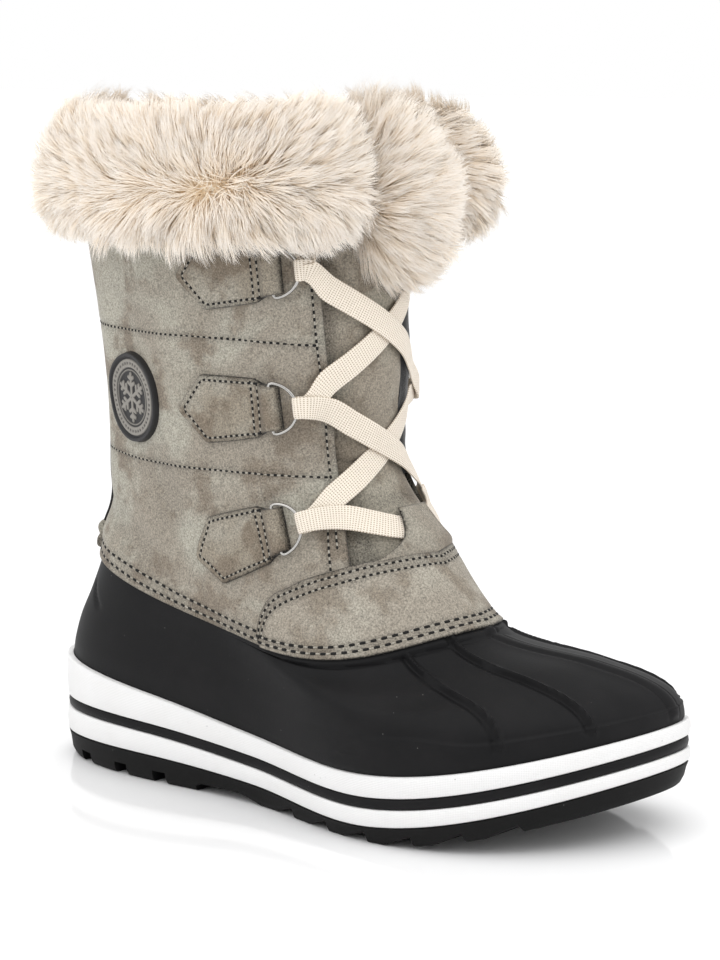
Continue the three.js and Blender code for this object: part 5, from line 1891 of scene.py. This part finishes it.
def grow(name, roots, outs, combs, dice, length, slot, pull=0.32, stand=1.0):
    """Hairs from roots, combed along combs. length is the shortest and the longest, in millimetres."""
    count = len(roots)
    combs = combs + WANDER * swirl(roots, WANDER_SIZE, seed=count) + STRAY * dice.normal(size=(count, 3))
    combs = unit(combs - outs * np.sum(combs * outs, axis=1, keepdims=True))
    leader = tufts_of(roots + 3.0 * combs, dice)
    tuft_dice = dice.random((count, 4))[leader]
    lengths = dice.uniform(*length, count) * (0.8 + 0.4 * tuft_dice[:, 0])
    t = HAIR_PLACES[None, :, None]
    bent = outs[:, None] * stand * (0.75 * t - 0.35 * t * t) + combs[:, None] * (0.45 * t + 0.35 * t * t)
    lean = (tuft_dice[:, None, 1:4] - 0.5) * 0.25 * t * t
    path = roots[:, None] + lengths[:, None, None] * (bent + lean)
    path = mix(path, path[leader], pull * t ** 1.5)
    path += dice.normal(size=path.shape) * WAVER * t
    way = unit(np.gradient(path, axis=1))
    across = unit(np.cross(way, outs[:, None]))
    sides = across[:, :3] * HAIR_HALF[None, :, None]
    points = np.concatenate([path[:, :3] - sides, path[:, :3] + sides, path[:, 3:]], axis=1)
    start = (np.arange(count) * HAIR_POINTS)[:, None]
    quads = np.concatenate([start + [0, 1, 4, 3], start + [1, 2, 5, 4]])
    marks = {"along": np.tile(HAIR_PLACES[[0, 1, 2, 0, 1, 2, 3]], count),
             "tint": np.repeat(0.6 * tuft_dice[:, 0] + 0.4 * dice.random(count), HAIR_POINTS)}
    mesh = new_mesh(name, points.reshape(-1, 3), quads, start + [2, 6, 5], marks=marks)
    return add_piece(name, mesh, hair, slot)


print("points of one hair:", HAIR_POINTS)

# %% [markdown]
# ## The fur cuff
# The cuff is a fat roll that hangs outside the collar and goes over it into the boot. One section is drawn
# as offsets from the collar's edge and carried round by `turn`. It shrinks at its two front ends, and on
# the inner side it flares outwards. On each side the fur is combed away from one spot at mid-height.

# %% Cuff backing
CUFF_OFF = [7.4, 9.5, 13.0, 15.0, 14.5, 11.0, 4.0, -3.0, -7.0, -8.0, -7.5, -3.0, 7.4]
CUFF_HEIGHT = [9, 7, 10, 16, 26, 38, 46, 45, 34, 22, 11.5, 9.2, 9.2]
CUFF_TURN_OUTER, CUFF_TURN_INNER, CUFF_END, CUFF_CLEAR, CUFF_MIDDLE = 0.885, 0.86, 0.06, 7.4, 24
CUFF_STEPS = len(CUFF_OFF) - 1
CUFF_PINCH, CUFF_LOW = 0.96, 0.45  # how far the ends are drawn in, and how low they get
CUFF_FLARE = 1.15  # how much further out the inner side's front end stands, as a share


def along_section(profile, part):
    """The cuff's offsets or heights, read at a fraction of the way round its section."""
    return curve(range(CUFF_STEPS + 1), profile, part * CUFF_STEPS)


def cuff_grid(turns, parts):
    """Points of the backing: one row for each turn, one column for each place along the section."""
    turn = turns[:, None]
    out = normal(1.0, turn)
    out[..., 2] = 0
    out = unit(out)
    last = np.where(turn > 0, CUFF_TURN_OUTER, CUFF_TURN_INNER)
    end = np.sqrt(1 - CUFF_PINCH * np.clip((np.abs(turn) - (last - CUFF_END)) / CUFF_END, 0, 1) ** 2)
    flared = smooth(0.55, 0.82, -turn)
    flare = 1 + CUFF_FLARE * flared
    off = along_section(CUFF_OFF, parts)[None]
    height = along_section(CUFF_HEIGHT, parts)[None]
    off = np.where(off > CUFF_CLEAR, CUFF_CLEAR + (off * flare - CUFF_CLEAR) * end, off)
    height = CUFF_MIDDLE + (height - CUFF_MIDDLE) * (CUFF_LOW + 0.55 * end) * (1 + 0.12 * flared)
    return surface(1.0, turn) + out * off[..., None] + np.array([0, 0, 1.0]) * height[..., None]


cuff_turns = np.concatenate([-CUFF_TURN_INNER + np.array([0, 0.01, 0.025, 0.045]),
                             np.linspace(-0.78, 0.80, 90),
                             CUFF_TURN_OUTER - np.array([0.06, 0.045, 0.025, 0.01, 0])])
cuff_parts = np.linspace(0, 1, 49)[:-1]
cuff_backing = cuff_grid(cuff_turns, cuff_parts)
add_piece("cuff_backing", loft_mesh("cuff_backing", cuff_backing), backing, "cuff_fur")

# %% Cuff fur
CUFF_SPOT = {"outer": 0.62, "inner": -0.55}  # where on each side the combing starts
END_COMB, END_STRENGTH = np.array([0.45, 0.80, -0.25]), 2.0  # the inner side's front end: no crown there
COMB_REACH = 26  # millimetres over which the hair turns away from the crown
CROWN_STEP, CROWN_SOFT = 3.7, 1.1  # the crown's place along the section, and how gently it parts
INNER_SHARE = 0.55  # hair density inside the collar beside that outside
CUFF_HAIR, TONGUE_HAIR = (13.0, 18.0), (13.0, 19.0)  # shortest and longest, in millimetres
OUTER_HAIRS, INNER_HAIRS, TONGUE_HAIRS = 39000, 27000, 28000
FUR_FROM, FUR_TO, TOP_STEP = 0.4, 9.6, 6.5  # steps round the section: where hair grows, and the top
COMB_AHEAD = 0.95  # strength of the combing along the roll


def cuff_fur(name, spot, turns, count, seed):
    dice = np.random.default_rng(seed)
    parts = np.linspace(FUR_FROM / CUFF_STEPS, FUR_TO / CUFF_STEPS, 60)
    grid = cuff_grid(turns, parts)
    over_the_top = np.where(parts < TOP_STEP / CUFF_STEPS, 1.0, INNER_SHARE)[None]
    weight = over_the_top * (1 + smooth(0.7, 0.8, np.abs(turns)))[:, None]
    points, outs, along, up = skin_samples(grid, count, dice, weight)
    if np.mean(np.sum(outs * (points - grid.mean(axis=(0, 1))), axis=1)) < 0:
        outs = -outs
    turn = np.interp(along, np.linspace(0, 1, len(turns)), turns)
    part = np.interp(up, np.linspace(0, 1, len(parts)), parts)
    step = 0.004
    forward = unit(surface(1.0, turn + step) - surface(1.0, turn - step))
    ring = along_section(CUFF_OFF, part + 0.01) - along_section(CUFF_OFF, part - 0.01)
    climb = along_section(CUFF_HEIGHT, part + 0.01) - along_section(CUFF_HEIGHT, part - 0.01)
    side_out = unit(np.cross(forward, [0, 0, 1.0]))
    side_out *= np.sign(np.sum(side_out * normal(1.0, turn), axis=1, keepdims=True))
    section = unit(side_out * ring[:, None] + np.array([0, 0, 1.0]) * climb[:, None])
    ahead = np.tanh((turn - spot) * TURN_MM / COMB_REACH)
    ahead = ahead * smooth(0.0, 0.10, np.abs(turn))  # no push at the heel, where the two sides meet
    rise = np.tanh((part * CUFF_STEPS - CROWN_STEP) / CROWN_SOFT)
    combs = forward * (ahead * COMB_AHEAD)[:, None] + section * rise[:, None]
    at_end = smooth(-0.79, -0.84, turn) * END_STRENGTH
    combs += at_end[:, None] * END_COMB
    return grow(name, points, outs, combs, dice, CUFF_HAIR, "cuff_fur")


outer_turns = np.linspace(-0.02, CUFF_TURN_OUTER, 110)
inner_turns = np.linspace(-CUFF_TURN_INNER, 0.02, 110)
near_fur = cuff_fur("cuff_fur_outer", CUFF_SPOT["outer"], outer_turns, OUTER_HAIRS, seed=41)
cuff_fur("cuff_fur_inner", CUFF_SPOT["inner"], inner_turns, INNER_HAIRS, seed=42)
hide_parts("fur_cuff")

# %% [markdown]
# ## The tongue's fur
# The head of the tongue is a lump of the same fur, squeezed between the two ends of the cuff. Its backing is
# an egg shape, and its hair fans out from a parting beside the cuff, over the tongue and the lace.

# %% Tongue fur
TONGUE_FUR_CENTRE, TONGUE_FUR_HALF = np.array([165, 0, 241]), np.array([22, 29, 43])
EGG_SHARE = 0.70  # the backing's size beside the fur's
TONGUE_LEAN = np.array([-10.0, -7.5, 0.0])  # the top leans back towards the outer side


def egg_grid(share, rows, columns):
    rise = np.linspace(-math.pi / 2 + 0.05, math.pi / 2 - 0.05, rows)[:, None]
    around = np.linspace(0, 2 * math.pi, columns, endpoint=False)[None]
    flat = np.cos(rise)
    ball = np.stack([flat * np.cos(around), flat * np.sin(around), np.sin(rise) + 0 * around], -1)
    egg = TONGUE_FUR_CENTRE + ball * TONGUE_FUR_HALF * share
    return egg + np.maximum(ball[..., 2:], 0) ** 2 * TONGUE_LEAN


egg_backing = loft_mesh("tongue_fur_backing", egg_grid(EGG_SHARE, 24, 40))
add_piece("tongue_fur_backing", egg_backing, backing, "tongue_fur")
dice = np.random.default_rng(43)
egg = egg_grid(EGG_SHARE, 40, 60)
egg = np.concatenate([egg, egg[:, :1]], axis=1)
points, *_ = skin_samples(egg, TONGUE_HAIRS, dice, np.ones(egg.shape[:2]))
from_middle = (points - TONGUE_FUR_CENTRE) / TONGUE_FUR_HALF ** 2
outs = unit(from_middle)
PARTING = np.array([158, -24, 234])  # where the cuff presses the hair flat, and it starts to fan out
fall = unit(points - PARTING)
tongue_fur = grow("tongue_fur", points, outs, fall, dice, TONGUE_HAIR, "tongue_fur")
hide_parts("fur_tongue")
